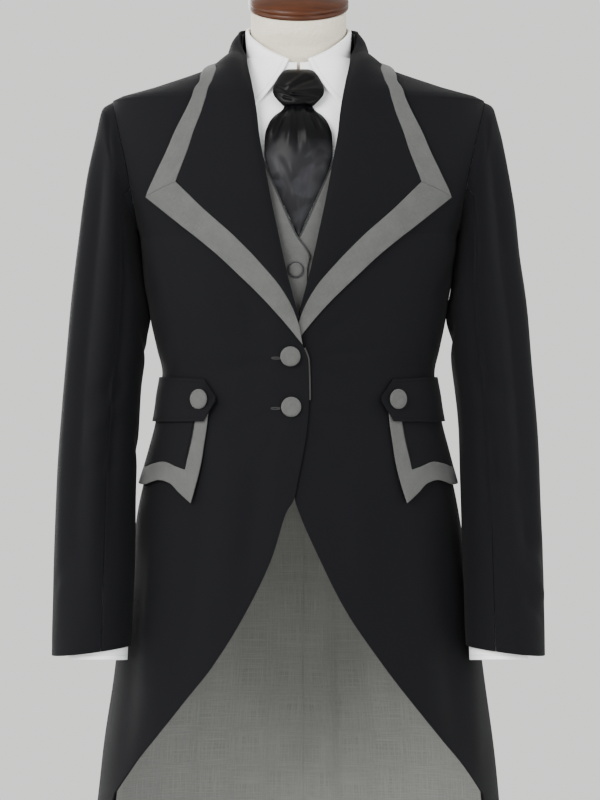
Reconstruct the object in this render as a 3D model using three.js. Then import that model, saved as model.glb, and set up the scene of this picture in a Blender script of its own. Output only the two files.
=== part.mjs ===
// A morning suit on a limbless dress form: a black cutaway coat with grey trim, a grey waistcoat,
// a white shirt and a black cravat. Millimetres, +Z up, the front faces -Y, the floor is z = 0,
// and the origin lies on the underside of the stand's base, below the neck.
//
// Every cloth is a wall on a round surface. A place on such a surface is an angle and a height:
// angle 0 is the wearer's side, +90 is centre front and -90 is centre back. x is measured outwards
// from the centre line on the piece's own side, and a negative x lies past the centre line.
import * as THREE from "three";

const COAT_CLOTH = 2;
const WAISTCOAT_CLOTH = 1.6;
const SHIRT_CLOTH = 1;
const LINING_CLOTH = 1;
const SATIN = 1.6;
const SEAM_GAP = 0.3;
const COAT_HEM_Z = 470;
const NECK_SEAM_Z = 1502;

// How square the round sections are: 2 is an ellipse.
const SQUARENESS = 2.3;

// Half widths and depths of the coat's outer face at each height, and how far back its centre lies.
const COAT = [
  { z: 1560, side: 66, front: 56, back: 68, centre: 0 },
  { z: 1545, side: 66, front: 56, back: 68, centre: 0 },
  { z: 1531, side: 67, front: 57, back: 70, centre: 0 },
  { z: 1516, side: 70, front: 60, back: 74, centre: 0 },
  { z: 1502, side: 76, front: 66, back: 78, centre: 0 },
  { z: 1487, side: 112, front: 78, back: 92, centre: 0 },
  { z: 1467, side: 171, front: 92, back: 104, centre: 0 },
  { z: 1451, side: 219, front: 101, back: 111, centre: 0 },
  { z: 1430, side: 219, front: 108, back: 117, centre: 0 },
  { z: 1400, side: 215, front: 120, back: 123, centre: 0 },
  { z: 1350, side: 200, front: 134, back: 128, centre: 0 },
  { z: 1300, side: 188, front: 140, back: 127, centre: 0 },
  { z: 1290, side: 187, front: 140, back: 126, centre: 0 },
  { z: 1265, side: 184, front: 139, back: 124, centre: 0 },
  { z: 1230, side: 179, front: 135, back: 119, centre: 0 },
  { z: 1193, side: 174, front: 129, back: 113, centre: 0 },
  { z: 1159, side: 167, front: 125, back: 107, centre: 0 },
  { z: 1130, side: 161, front: 122, back: 104, centre: 0 },
  { z: 1100, side: 162, front: 122, back: 104, centre: 0 },
  { z: 1075, side: 165, front: 123, back: 108, centre: 0 },
  { z: 1041, side: 173, front: 128, back: 116, centre: 2 },
  { z: 1005, side: 182, front: 139, back: 118, centre: 10 },
  { z: 967, side: 190, front: 154, back: 116, centre: 22 },
  { z: 900, side: 201, front: 177, back: 110, centre: 40 },
  { z: 811, side: 216, front: 200, back: 106, centre: 57 },
  { z: 787, side: 219, front: 204, back: 107, centre: 59 },
  { z: 672, side: 235, front: 210, back: 118, centre: 60 },
  { z: 560, side: 246, front: 212, back: 124, centre: 60 },
  { z: 470, side: 254, front: 212, back: 128, centre: 60 },
];

// The same for the dress form, a smooth bust that the clothes lie on.
const FORM = [
  { z: 1600, side: 57.5, front: 58, back: 53 },
  { z: 1540, side: 57.5, front: 57, back: 55 },
  { z: 1510, side: 57.5, front: 54.5, back: 60 },
  { z: 1499, side: 60, front: 56, back: 65 },
  { z: 1492, side: 73, front: 58, back: 72 },
  { z: 1476, side: 110, front: 65, back: 85 },
  { z: 1456, side: 169, front: 78, back: 97 },
  { z: 1448, side: 188, front: 84, back: 98.5 },
  { z: 1435, side: 194, front: 93, back: 104.5 },
  { z: 1400, side: 193, front: 109, back: 111.5 },
  { z: 1350, side: 186, front: 121, back: 115.5 },
  { z: 1300, side: 176, front: 125, back: 114 },
  { z: 1250, side: 167, front: 121, back: 110 },
  { z: 1200, side: 159, front: 113, back: 102 },
  { z: 1150, side: 150, front: 107, back: 93 },
  { z: 1100, side: 146, front: 105, back: 90 },
  { z: 1050, side: 153, front: 108, back: 96 },
  { z: 995, side: 163, front: 110, back: 103 },
];

// The coat's armhole is an upright ring, the shirt's a smaller one on the form.
const COAT_ARMHOLE = { z: 1370.5, half: 80.5, depth: 63, topX: 219, lowX: 187, hollow: 3.5 };
const SHIRT_ARMHOLE = { z: 1379, half: 64, depth: 52 };

// A smooth curve through a table's rows that never overshoots them.
function curve(table, from, to) {
  const rows = table.map((row) => [row[from], row[to]]).sort((a, b) => a[0] - b[0]);
  const slopes = rows.slice(1).map((row, i) => (row[1] - rows[i][1]) / (row[0] - rows[i][0]));
  const tangents = rows.map((_, i) => {
    if (i === 0) return slopes[0];
    if (i === rows.length - 1) return slopes[i - 1];
    if (slopes[i - 1] * slopes[i] <= 0) return 0;
    return (2 * slopes[i - 1] * slopes[i]) / (slopes[i - 1] + slopes[i]);
  });
  return (at) => {
    if (at <= rows[0][0]) return rows[0][1];
    if (at >= rows[rows.length - 1][0]) return rows[rows.length - 1][1];
    const i = rows.findIndex((row, k) => k > 0 && at <= row[0]) - 1;
    const span = rows[i + 1][0] - rows[i][0];
    const t = (at - rows[i][0]) / span;
    const s = 1 - t;
    return (
      rows[i][1] * (1 + 2 * t) * s * s +
      tangents[i] * span * t * s * s +
      rows[i + 1][1] * t * t * (3 - 2 * t) -
      tangents[i + 1] * span * t * t * s
    );
  };
}

const radians = THREE.MathUtils.degToRad;
const degrees = THREE.MathUtils.radToDeg;
const lerp = THREE.MathUtils.lerp;
const smoothstep = THREE.MathUtils.smoothstep;
const range = (count) => Array.from({ length: count + 1 }, (_, i) => i / count);
const left = -1;
const right = 1;
const SIDES = [
  { name: "left", sign: left },
  { name: "right", sign: right },
];

// The depth of an armhole ring at a height, and the coat armhole's distance from the centre line.
function ringDepth(ring, z) {
  const t = (z - ring.z) / ring.half;
  return Math.abs(t) < 1 ? ring.depth * Math.sqrt(1 - t * t) : 0;
}
function coatArmholeX(z) {
  const t = (z - COAT_ARMHOLE.z) / COAT_ARMHOLE.half;
  const straight = lerp(COAT_ARMHOLE.lowX, COAT_ARMHOLE.topX, (t + 1) / 2);
  return straight - COAT_ARMHOLE.hollow * Math.max(0, 1 - t * t);
}

// One round surface: its half sizes at each height. The coat's passes through its armhole ring.
function surface(table, ring) {
  const side = curve(table, "z", "side");
  const front = curve(table, "z", "front");
  const back = curve(table, "z", "back");
  const centre = table[0].centre === undefined ? () => 0 : curve(table, "z", "centre");
  const depth = (z, ahead) => (ahead ? front(z) : back(z));
  const width = (z, ahead) => {
    const y = ring ? ringDepth(ring, z) : 0;
    if (y === 0) return side(z);
    const part = Math.pow(y / depth(z, ahead), SQUARENESS);
    return coatArmholeX(z) / Math.pow(1 - part, 1 / SQUARENESS);
  };
  return { width, depth, centre };
}
const coat = surface(COAT, COAT_ARMHOLE);
const form = surface(FORM);

// A bare point of a surface, on the piece's own side.
function bare(shape, angle, z) {
  const c = Math.cos(radians(angle));
  const s = Math.sin(radians(angle));
  const across = Math.pow(Math.abs(c) / shape.width(z, s >= 0), SQUARENESS);
  const along = Math.pow(Math.abs(s) / shape.depth(z, s >= 0), SQUARENESS);
  const radius = Math.pow(across + along, -1 / SQUARENESS);
  return new THREE.Vector3(radius * c, shape.centre(z) - radius * s, z);
}

// The direction straight out of a surface.
function outward(shape, angle, z) {
  const point = bare(shape, angle, z);
  const round = bare(shape, angle + 0.6, z).sub(bare(shape, angle - 0.6, z));
  const up = bare(shape, angle, z + 1).sub(bare(shape, angle, z - 1));
  const normal = round.cross(up).normalize();
  const out = new THREE.Vector3(point.x, point.y - shape.centre(z), 0);
  return normal.dot(out) < 0 ? normal.negate() : normal;
}
function lifted(shape, angle, z, lift) {
  return bare(shape, angle, z).addScaledVector(outward(shape, angle, z), lift);
}

// The angle of a place on the front that lies x from the centre line.
function frontAngle(shape, x, z) {
  const part = Math.min(1, Math.pow(Math.abs(x) / shape.width(z, true), SQUARENESS));
  const y = shape.depth(z, true) * Math.pow(1 - part, 1 / SQUARENESS);
  return degrees(Math.atan2(y, x));
}
// The angle at which an armhole ring cuts a surface.
function ringAngle(shape, ring, z, ahead) {
  const y = ringDepth(ring, z);
  const part = Math.pow(y / shape.depth(z, ahead), SQUARENESS);
  const x = shape.width(z, ahead) * Math.pow(1 - part, 1 / SQUARENESS);
  return degrees(Math.atan2(y, x)) * (ahead ? 1 : -1);
}
// An angle moved by a length along the surface.
function nudge(shape, angle, z, length) {
  const point = bare(shape, angle, z);
  return angle + degrees(length / Math.hypot(point.x, point.y - shape.centre(z)));
}

// A closed mesh from points and triangles, turned so that its faces point out.
function closedGeometry(points, triangles) {
  const volume = triangles.reduce((sum, [a, b, c]) => {
    const cross = points[b].clone().cross(points[c]);
    return sum + points[a].dot(cross);
  }, 0);
  const ordered = volume < 0 ? triangles.map(([a, b, c]) => [a, c, b]) : triangles;
  const geometry = new THREE.BufferGeometry();
  geometry.setAttribute(
    "position",
    new THREE.Float32BufferAttribute(points.flatMap((p) => [p.x, p.y, p.z]), 3),
  );
  geometry.setIndex(ordered.flat());
  geometry.computeVertexNormals();
  return geometry;
}

// A cloth wall: a grid of points on its outer face, the same grid on its inner face, and its edges.
// In a closed wall the last column joins the first.
function wall(outer, inner, closed = false) {
  const rows = outer.length;
  const columns = outer[0].length;
  const points = [...outer.flat(), ...inner.flat()];
  const triangles = [];
  const at = (face, row, column) => (face * rows + row) * columns + (column % columns);
  const quad = (a, b, c, d) => triangles.push([a, b, c], [a, c, d]);
  const steps = closed ? columns : columns - 1;
  for (let c = 0; c < steps; c++) {
    for (let r = 0; r < rows - 1; r++) {
      quad(at(0, r, c), at(0, r, c + 1), at(0, r + 1, c + 1), at(0, r + 1, c));
      quad(at(1, r, c), at(1, r + 1, c), at(1, r + 1, c + 1), at(1, r, c + 1));
    }
    const end = rows - 1;
    quad(at(0, 0, c), at(1, 0, c), at(1, 0, c + 1), at(0, 0, c + 1));
    quad(at(0, end, c), at(0, end, c + 1), at(1, end, c + 1), at(1, end, c));
  }
  for (let r = 0; r < rows - 1 && !closed; r++) {
    const end = columns - 1;
    quad(at(0, r, 0), at(0, r + 1, 0), at(1, r + 1, 0), at(1, r, 0));
    quad(at(0, r, end), at(1, r, end), at(1, r + 1, end), at(0, r + 1, end));
  }
  return closedGeometry(points, triangles);
}

// A solid through rings of points, closed by a fan at each end.
function ringSolid(rings) {
  const count = rings[0].length;
  const points = rings.flat();
  const triangles = [];
  for (let r = 0; r < rings.length - 1; r++) {
    for (let c = 0; c < count; c++) {
      const [a, b] = [r * count + c, r * count + ((c + 1) % count)];
      triangles.push([a, b, b + count], [a, b + count, a + count]);
    }
  }
  for (const [ring, turn] of [[0, true], [rings.length - 1, false]]) {
    const middle = points.length;
    const mean = rings[ring].reduce((sum, p) => sum.add(p), new THREE.Vector3());
    points.push(mean.divideScalar(count));
    for (let c = 0; c < count; c++) {
      const [a, b] = [ring * count + c, ring * count + ((c + 1) % count)];
      triangles.push(turn ? [middle, b, a] : [middle, a, b]);
    }
  }
  return closedGeometry(points, triangles);
}

const finish = (color, roughness, metalness = 0) => ({ color, roughness, metalness });
const FINISH = {
  coatWool: finish(0x1c1c21, 0.85),
  greyWool: finish(0x777a78, 0.9),
  lining: finish(0x5f605c, 0.8),
  poplin: finish(0xf2f3f5, 0.75),
  satin: finish(0x121214, 0.4),
  linen: finish(0xe9e2d2, 0.9),
  wood: finish(0x5c3524, 0.45),
  steel: finish(0x8d8f92, 0.35, 0.9),
};

const suit = new THREE.Group();
function add(name, geometry, look) {
  const mesh = new THREE.Mesh(geometry, new THREE.MeshStandardMaterial(look));
  mesh.name = name;
  suit.add(mesh);
  return mesh;
}

// A wall on a surface from rows of places { angle, z, lift }, where lift is extra height off it.
function panel(shape, sign, rows, outerLift, thickness) {
  const face = (lift) =>
    rows.map((row) =>
      row.map((place) => {
        const point = lifted(shape, place.angle, place.z, lift + (place.lift ?? 0));
        return new THREE.Vector3(point.x * sign, point.y, point.z);
      }),
    );
  return wall(face(outerLift), face(outerLift - thickness));
}
// Rows of places between two edges: at each height, from the angle `from` to the angle `to`.
function rowsBetween(shape, heights, from, to, columns, lift = () => 0) {
  return heights.map((z) => {
    const start = nudge(shape, from(z), z, -SEAM_GAP / 2);
    const end = nudge(shape, to(z), z, SEAM_GAP / 2);
    return range(columns).map((t) => {
      const angle = lerp(start, end, t);
      return { angle, z, lift: lift(bare(shape, angle, z).x, z) };
    });
  });
}

// COAT
// The front edge: the lapel's crease down to z = 1163, then the buttoned edge and the cutaway.
// x runs from the centre line for the front that laps over and for the one under it.
const FRONT_EDGE = [
  { z: 1502, over: 65.5, under: 65.5 },
  { z: 1485, over: 61.5, under: 61.5 },
  { z: 1463, over: 56.5, under: 56.5 },
  { z: 1430, over: 50.5, under: 50.5 },
  { z: 1397, over: 46.5, under: 46.5 },
  { z: 1365, over: 40.5, under: 40.5 },
  { z: 1328, over: 33.5, under: 33.5 },
  { z: 1251, over: 17, under: 17 },
  { z: 1212, over: 6.5, under: 6.5 },
  { z: 1185, over: -1, under: -1 },
  { z: 1163, over: -5.1, under: -5.1 },
  { z: 1145, over: -10.8, under: -10.8 },
  { z: 1100, over: -12, under: -12 },
  { z: 1066, over: -9.7, under: -11 },
  { z: 1031, over: -4, under: -9 },
  { z: 1009, over: 0.6, under: -7 },
  { z: 986, over: 5.1, under: -4 },
  { z: 972, over: 13.5, under: 0.5 },
  { z: 921, over: 30, under: 23 },
  { z: 860, over: 59, under: 54 },
  { z: 795, over: 99, under: 99 },
  { z: 757, over: 129, under: 128 },
  { z: 711, over: 165, under: 165 },
  { z: 685, over: 186, under: 186 },
  { z: 640, over: 216, under: 216 },
];
// Below that the cutaway runs round the side to the tail's rounded corner.
const TAIL_EDGE = [
  { z: 640, angle: 24 },
  { z: 600, angle: 11 },
  { z: 560, angle: -3 },
  { z: 530, angle: -14 },
  { z: 500, angle: -26 },
  { z: 482, angle: -34 },
  { z: 470, angle: -42 },
];
const edgeX = {
  over: curve(FRONT_EDGE, "z", "over"),
  under: curve(FRONT_EDGE, "z", "under"),
};
const tailEdge = curve(TAIL_EDGE, "z", "angle");
const TAIL_EDGE_FROM = 640;
const EDGE_BLEND = 30;
function frontEdge(layer, z) {
  const ahead = frontAngle(coat, edgeX[layer](z), z);
  return lerp(tailEdge(z), ahead, smoothstep(z, TAIL_EDGE_FROM - EDGE_BLEND, TAIL_EDGE_FROM));
}

// The side seam, the side-back seam and the centre back seam with its vent.
const SEAMS = [
  { z: 1345, side: 0, back: -17.4 },
  { z: 1290, side: 0, back: -33 },
  { z: 1230, side: -7, back: -43 },
  { z: 1150, side: -10, back: -50 },
  { z: 1000, side: -10, back: -50 },
  { z: 800, side: -10, back: -48 },
  { z: 470, side: -10, back: -47 },
];
const sideSeam = curve(SEAMS, "z", "side");
const backSeam = curve(SEAMS, "z", "back");
const SIDE_BACK_TOP = 1345;
// Half the vent's opening: it stands open where the stand's rod passes through.
const VENT = [
  { z: 1045, open: 0 },
  { z: 1028, open: 13 },
  { z: 998, open: 13 },
  { z: 982, open: 0 },
];
const ventOpen = curve(VENT, "z", "open");
const centreBack = (z) => nudge(coat, -90, z, ventOpen(z));

const armholeTop = COAT_ARMHOLE.z + COAT_ARMHOLE.half;
const armholeLow = COAT_ARMHOLE.z - COAT_ARMHOLE.half;
const SHOULDER_SEAM = 0;
const frontOuterEdge = (z) => {
  if (z >= armholeTop) return SHOULDER_SEAM;
  if (z > armholeLow) return ringAngle(coat, COAT_ARMHOLE, z, true);
  return sideSeam(z);
};
const backOuterEdge = (z) => {
  if (z >= armholeTop) return SHOULDER_SEAM;
  if (z > SIDE_BACK_TOP) return ringAngle(coat, COAT_ARMHOLE, z, false);
  return backSeam(z);
};
const sideOuterEdge = (z) => {
  if (z > armholeLow) return ringAngle(coat, COAT_ARMHOLE, z, false);
  return Math.min(sideSeam(z), tailEdge(z));
};

// How far the over front stands off so that the under front and its lapel fit below it.
const LAP = [
  { z: 1310, lift: 0 },
  { z: 1215, lift: 5.2 },
  { z: 1170, lift: 5.6 },
  { z: 1125, lift: 3.2 },
  { z: 960, lift: 3 },
];
const lapHeight = curve(LAP, "z", "lift");
const LAP_FULL_X = 18;
const LAP_END_X = 60;
const lapLift = (sign) => (x, z) =>
  sign === left ? lapHeight(z) * (1 - smoothstep(x, LAP_FULL_X, LAP_END_X)) : 0;

const BODY_ROWS = [
  1502, 1494, 1484, 1472, 1460, 1451, 1441, 1425, 1400, 1371, 1344, 1310, 1290, 1260, 1225, 1193,
  1163, 1130, 1100, 1068, 1045, 1028, 998, 982, 950, 915, 875, 830, 785, 735,
];
const FRONT_ROWS = [...BODY_ROWS, 685, 640, 600, 562];
const SIDE_ROWS = [...BODY_ROWS.filter((z) => z < SIDE_BACK_TOP), 640, 562, 530, 500, 480, COAT_HEM_Z];
const BACK_ROWS = [...BODY_ROWS, 640, 562, COAT_HEM_Z];
const LINING_ROWS = [...BODY_ROWS.filter((z) => z <= 1045), 640, 562, 500, COAT_HEM_Z + 5];
const FRONT_COLUMNS = 6;
const SIDE_COLUMNS = 3;
const BACK_COLUMNS = 6;

function coatBody(side) {
  const layer = side.sign === left ? "over" : "under";
  const front = rowsBetween(
    coat,
    FRONT_ROWS,
    (z) => frontEdge(layer, z),
    frontOuterEdge,
    FRONT_COLUMNS,
    lapLift(side.sign),
  );
  add(`coat_front_${side.name}`, panel(coat, side.sign, front, 0, COAT_CLOTH), FINISH.coatWool);
  const sideRows = rowsBetween(coat, SIDE_ROWS, sideOuterEdge, backSeam, SIDE_COLUMNS);
  add(`coat_side_${side.name}`, panel(coat, side.sign, sideRows, 0, COAT_CLOTH), FINISH.coatWool);
  const backRows = rowsBetween(coat, BACK_ROWS, backOuterEdge, centreBack, BACK_COLUMNS);
  add(`coat_back_${side.name}`, panel(coat, side.sign, backRows, 0, COAT_CLOTH), FINISH.coatWool);
}

// The tails' lining hangs just inside them and shows below the cutaway.
const LINING_LIFT = -COAT_CLOTH - 0.95;
// Towards the side it hangs further in.
const LINING_SLACK = { depth: 2.2, fromX: 70, toX: 165 };
const LINING_EDGE_INSET = 5;
function tailLining(side) {
  const outerEdge = (z) => Math.min(-12, tailEdge(z) - LINING_EDGE_INSET);
  const { depth, fromX, toX } = LINING_SLACK;
  const slack = (x) => -depth * smoothstep(x, fromX, toX);
  const besideSeam = rowsBetween(coat, LINING_ROWS, outerEdge, backSeam, SIDE_COLUMNS, slack);
  const behindSeam = rowsBetween(coat, LINING_ROWS, backSeam, centreBack, BACK_COLUMNS, slack);
  const rows = besideSeam.map((row, i) => [...row.slice(0, SIDE_COLUMNS), ...behindSeam[i]]);
  const geometry = panel(coat, side.sign, rows, LINING_LIFT, LINING_CLOTH);
  add(`coat_lining_${side.name}`, geometry, FINISH.lining);
}

// The collar's crease round the neck, from the front's top corner to the centre back.
const CREASE = [
  { angle: 33, z: 1502.3 },
  { angle: 27, z: 1508 },
  { angle: 19, z: 1515 },
  { angle: 6, z: 1530 },
  { angle: -15, z: 1535 },
  { angle: -38, z: 1539 },
  { angle: -64, z: 1541.5 },
  { angle: -90, z: 1542 },
];
const creaseZ = curve(CREASE, "angle", "z");

// The angle from the side towards the front or back, for an angle that runs round the whole neck.
function ownAngle(angle) {
  const s = Math.sin(radians(angle));
  const c = Math.abs(Math.cos(radians(angle)));
  return degrees(Math.atan2(s, c));
}
// A band round the neck between two edges, from a front angle round the back to its mirror.
const NECK_STEPS = 24;
function neckBand(shape, frontEnd, shares, low, high, outerLift, thickness) {
  const rows = shares.map((t) =>
    range(NECK_STEPS).map((u) => {
      const angle = lerp(frontEnd, -180 - frontEnd, u);
      const own = ownAngle(angle);
      return { angle, z: lerp(low(own), high(own), t) };
    }),
  );
  return panel(shape, right, rows, outerLift, thickness);
}
const COAT_STAND = { frontEnd: 25, raise: 1, belowCrease: 0.7 };
function coatCollarStand() {
  const low = () => NECK_SEAM_Z + COAT_STAND.raise;
  const high = (angle) => creaseZ(angle) - COAT_STAND.belowCrease;
  const geometry = neckBand(coat, COAT_STAND.frontEnd, [0, 1], low, high, 0, COAT_CLOTH);
  add("coat_collar_stand", geometry, FINISH.coatWool);
}

// The lapel and collar fall: its crease, and the inner and outer edge of the grey band along it,
// from the break point up over the shoulder to the centre back. roll is how far it stands off the
// coat between crease and band, and fullness how far from the crease that is widest.
const ahead = (x, z) => ({ angle: frontAngle(coat, x, z), z });
const place = (angle, z) => ({ angle, z });
const LAPEL = [
  { crease: ahead(1.5, 1194), inner: ahead(6, 1206), roll: 0.2, fullness: 0.45 },
  { crease: ahead(6.5, 1212), inner: ahead(20, 1230), roll: 0.8, fullness: 0.4 },
  { crease: ahead(13, 1236), inner: ahead(42, 1256), roll: 2, fullness: 0.35 },
  { crease: ahead(21, 1270), inner: ahead(73, 1288), roll: 3, fullness: 0.3 },
  { crease: ahead(28, 1302), inner: ahead(109.5, 1321), roll: 3.4, fullness: 0.25 },
  { crease: ahead(34, 1330), inner: ahead(139, 1350.5), roll: 3.6, fullness: 0.2 },
  { crease: ahead(40.5, 1365), inner: ahead(132, 1369.5), roll: 3.8, fullness: 0.2 },
  { crease: ahead(46.5, 1397), inner: ahead(123.5, 1393), roll: 4, fullness: 0.22 },
  { crease: ahead(50.5, 1430), inner: ahead(111.5, 1428), roll: 4.2, fullness: 0.28 },
  { crease: ahead(53.5, 1448), inner: ahead(105.5, 1447), roll: 4.4, fullness: 0.32 },
  { crease: ahead(57, 1465), inner: ahead(100, 1463.3), roll: 4.6, fullness: 0.36 },
  { crease: ahead(62, 1487), inner: ahead(94, 1482), roll: 5.4, fullness: 0.42 },
  { crease: place(33, 1502.3), inner: place(13, 1493), roll: 6.2, fullness: 0.45 },
  { crease: place(19, 1515), inner: place(1, 1496.5), roll: 6.4, fullness: 0.45 },
  { crease: place(6, 1530), inner: place(-11, 1496.5), roll: 6.4, fullness: 0.45 },
  { crease: place(-12, 1534), inner: place(-26, 1497), roll: 6.2, fullness: 0.45 },
  { crease: place(-31, 1537.5), inner: place(-42, 1498.3), roll: 5.8, fullness: 0.45 },
  { crease: place(-50, 1540.4), inner: place(-58, 1499.5), roll: 5.4, fullness: 0.45 },
  { crease: place(-70, 1541.7), inner: place(-74, 1500), roll: 5, fullness: 0.45 },
  { crease: place(-90, 1542), inner: place(-90, 1500), roll: 5, fullness: 0.45 },
];
const LOWER_BAND = [
  { inner: ahead(-0.8, 1186), outer: ahead(-4.6, 1164) },
  { inner: ahead(2.5, 1196), outer: ahead(8, 1180) },
  { inner: ahead(6, 1206), outer: ahead(22, 1197) },
  { inner: ahead(20, 1230), outer: ahead(37, 1213.5) },
  { inner: ahead(42, 1256), outer: ahead(61, 1237) },
  { inner: ahead(73, 1288), outer: ahead(92, 1266.5) },
  { inner: ahead(109.5, 1321), outer: ahead(131, 1299) },
  { inner: ahead(139, 1350.5), outer: ahead(174, 1335) },
];
const SIDE_BAND = [
  { inner: ahead(139, 1350.5), outer: ahead(174, 1335) },
  { inner: ahead(132, 1369.5), outer: ahead(162, 1361.5) },
  { inner: ahead(123.5, 1393), outer: ahead(149, 1389) },
  { inner: ahead(111.5, 1428), outer: ahead(130, 1430.5) },
  { inner: ahead(105.5, 1447), outer: ahead(122, 1448) },
  { inner: ahead(100, 1463.3), outer: ahead(115, 1462.5) },
  { inner: ahead(94, 1482), outer: place(25, 1482) },
  { inner: place(13, 1493), outer: place(10, 1489) },
  { inner: place(1, 1496.5), outer: place(-1, 1488.5) },
  { inner: place(-11, 1496.5), outer: place(-13, 1485) },
  { inner: place(-26, 1497), outer: place(-28, 1479.5) },
  { inner: place(-42, 1498.3), outer: place(-43, 1477.2) },
  { inner: place(-58, 1499.5), outer: place(-58, 1477) },
  { inner: place(-74, 1500), outer: place(-74, 1478) },
  { inner: place(-90, 1500), outer: place(-90, 1478) },
];
// The lapel's underside stands off the coat by this much, less near the break point.
const LAPEL_OFF = [
  { z: 1485, off: 2 },
  { z: 1463, off: 3.2 },
  { z: 1448, off: 3.4 },
  { z: 1425, off: 2.4 },
  { z: 1270, off: 2 },
  { z: 1205, off: 0.7 },
];
const lapelOff = curve(LAPEL_OFF, "z", "off");
const LAPEL_COLUMNS = [0.015, 0.12, 0.3, 0.52, 0.76, 1];
const CREASE_TUCK = 2.6;
const CREASE_DROP = -2.2;

const between = (a, b, t) => place(lerp(a.angle, b.angle, t), lerp(a.z, b.z, t));
const spread = (a, b) => bare(coat, a.angle, a.z).distanceTo(bare(coat, b.angle, b.z));
// How far a rolled edge stands off, t of the way from the crease to the band.
const rollLift = (row, t) =>
  row.roll * Math.sin(Math.PI * Math.pow(t, Math.log(0.5) / Math.log(row.fullness)));

// A place moved from the crease towards the opening, square to the crease.
function tucked(rows, i, length) {
  const before = rows[Math.max(0, i - 1)].crease;
  const after = rows[Math.min(rows.length - 1, i + 1)].crease;
  const { angle, z } = rows[i].crease;
  const point = bare(coat, angle, z);
  const radius = Math.hypot(point.x, point.y);
  const run = radians(after.angle - before.angle) * radius;
  const rise = after.z - before.z;
  const size = Math.hypot(run, rise);
  return place(nudge(coat, angle, z, (rise / size) * length), z - (run / size) * length);
}
function withLap(sign, rows) {
  const lift = lapLift(sign);
  return rows.map((row) =>
    row.map((spot) => ({
      ...spot,
      lift: (spot.lift ?? 0) + lapelOff(spot.z) + lift(bare(coat, spot.angle, spot.z).x, spot.z),
    })),
  );
}
function lapel(side) {
  const rows = LAPEL.map((row, i) => {
    const edge = { ...tucked(LAPEL, i, CREASE_TUCK), lift: CREASE_DROP };
    const fall = LAPEL_COLUMNS.map((t) => {
      const end = 1 - SEAM_GAP / 2 / spread(row.crease, row.inner);
      return { ...between(row.crease, row.inner, Math.min(t, end)), lift: rollLift(row, t) };
    });
    return [edge, ...fall];
  });
  rows[rows.length - 1] = rows[rows.length - 1].map((spot) => ({
    ...spot,
    angle: nudge(coat, spot.angle, spot.z, SEAM_GAP / 2),
  }));
  const geometry = panel(coat, side.sign, withLap(side.sign, rows), COAT_CLOTH, COAT_CLOTH);
  add(`lapel_${side.name}`, geometry, FINISH.coatWool);
}
function band(name, side, table, trimStart, trimEnd) {
  const rows = table.map((row, i) =>
    [SEAM_GAP / spread(row.inner, row.outer), 0.5, 1].map((t) => {
      const spot = between(row.inner, row.outer, t);
      if (i === 0) spot.z += trimStart;
      if (i === table.length - 1) spot.z += trimEnd.z;
      if (i === table.length - 1) spot.angle = nudge(coat, spot.angle, spot.z, trimEnd.along);
      return spot;
    }),
  );
  const geometry = panel(coat, side.sign, withLap(side.sign, rows), COAT_CLOTH, COAT_CLOTH);
  add(`${name}_${side.name}`, geometry, FINISH.greyWool);
}
function lapelBands(side) {
  band("lapel_band_lower", side, LOWER_BAND, 0, { z: -SEAM_GAP, along: 0 });
  band("lapel_band_side", side, SIDE_BAND, SEAM_GAP, { z: 0, along: SEAM_GAP / 2 });
}

// A thin grey edge shows along the over front between lapel and second button.
const EDGING_ROWS = [1160, 1148, 1136, 1124, 1112, 1100];
const EDGING_WIDTH = 1.5;
function frontEdging() {
  const rows = EDGING_ROWS.map((z) => {
    const start = nudge(coat, frontEdge("over", z), z, SEAM_GAP / 2);
    return [0, EDGING_WIDTH].map((length) => {
      const angle = nudge(coat, start, z, length);
      return { angle, z, lift: lapHeight(z) };
    });
  });
  add("front_edging", panel(coat, left, rows, 0, COAT_CLOTH), FINISH.greyWool);
}

// SLEEVES
// Each row joins a point of the sleeve's outer line to one of its inner line, as seen from the
// front, with the section's half depth and how far forward it hangs.
const SLEEVE = [
  { at: 0, topX: 219, topZ: 1451, lowX: 187, lowZ: 1290, depth: 63, forward: 0, hollow: 3.5 },
  { at: 1, topX: 231, topZ: 1444, lowX: 187.6, lowZ: 1282, depth: 66, forward: 0, hollow: 0 },
  { at: 2, topX: 239, topZ: 1415, lowX: 187, lowZ: 1262, depth: 67, forward: 1, hollow: 0 },
  { at: 3, topX: 248, topZ: 1370, lowX: 183.2, lowZ: 1232, depth: 67, forward: 2, hollow: 0 },
  { at: 4, topX: 257, topZ: 1312, lowX: 178.2, lowZ: 1195, depth: 66, forward: 4, hollow: 0 },
  { at: 5, topX: 264, topZ: 1250, lowX: 179, lowZ: 1158, depth: 65, forward: 7, hollow: 0 },
  { at: 6, topX: 271, topZ: 1180, lowX: 184, lowZ: 1110, depth: 63, forward: 12, hollow: 0 },
  { at: 7, topX: 278, topZ: 1095, lowX: 188, lowZ: 1052, depth: 60.5, forward: 19, hollow: 0 },
  { at: 8, topX: 283, topZ: 1010, lowX: 190, lowZ: 990, depth: 58, forward: 29, hollow: 0 },
  { at: 9, topX: 285, topZ: 925, lowX: 191.5, lowZ: 918, depth: 55, forward: 41, hollow: 0 },
  { at: 10, topX: 286, topZ: 860, lowX: 193, lowZ: 860, depth: 53, forward: 51, hollow: 0 },
  { at: 11, topX: 286.5, topZ: 799, lowX: 194.5, lowZ: 811, depth: 51, forward: 60, hollow: 0 },
];
const SLEEVE_END = SLEEVE.length - 1;
const sleeveSize = Object.fromEntries(
  Object.keys(SLEEVE[0]).map((key) => [key, curve(SLEEVE, "at", key)]),
);

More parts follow.
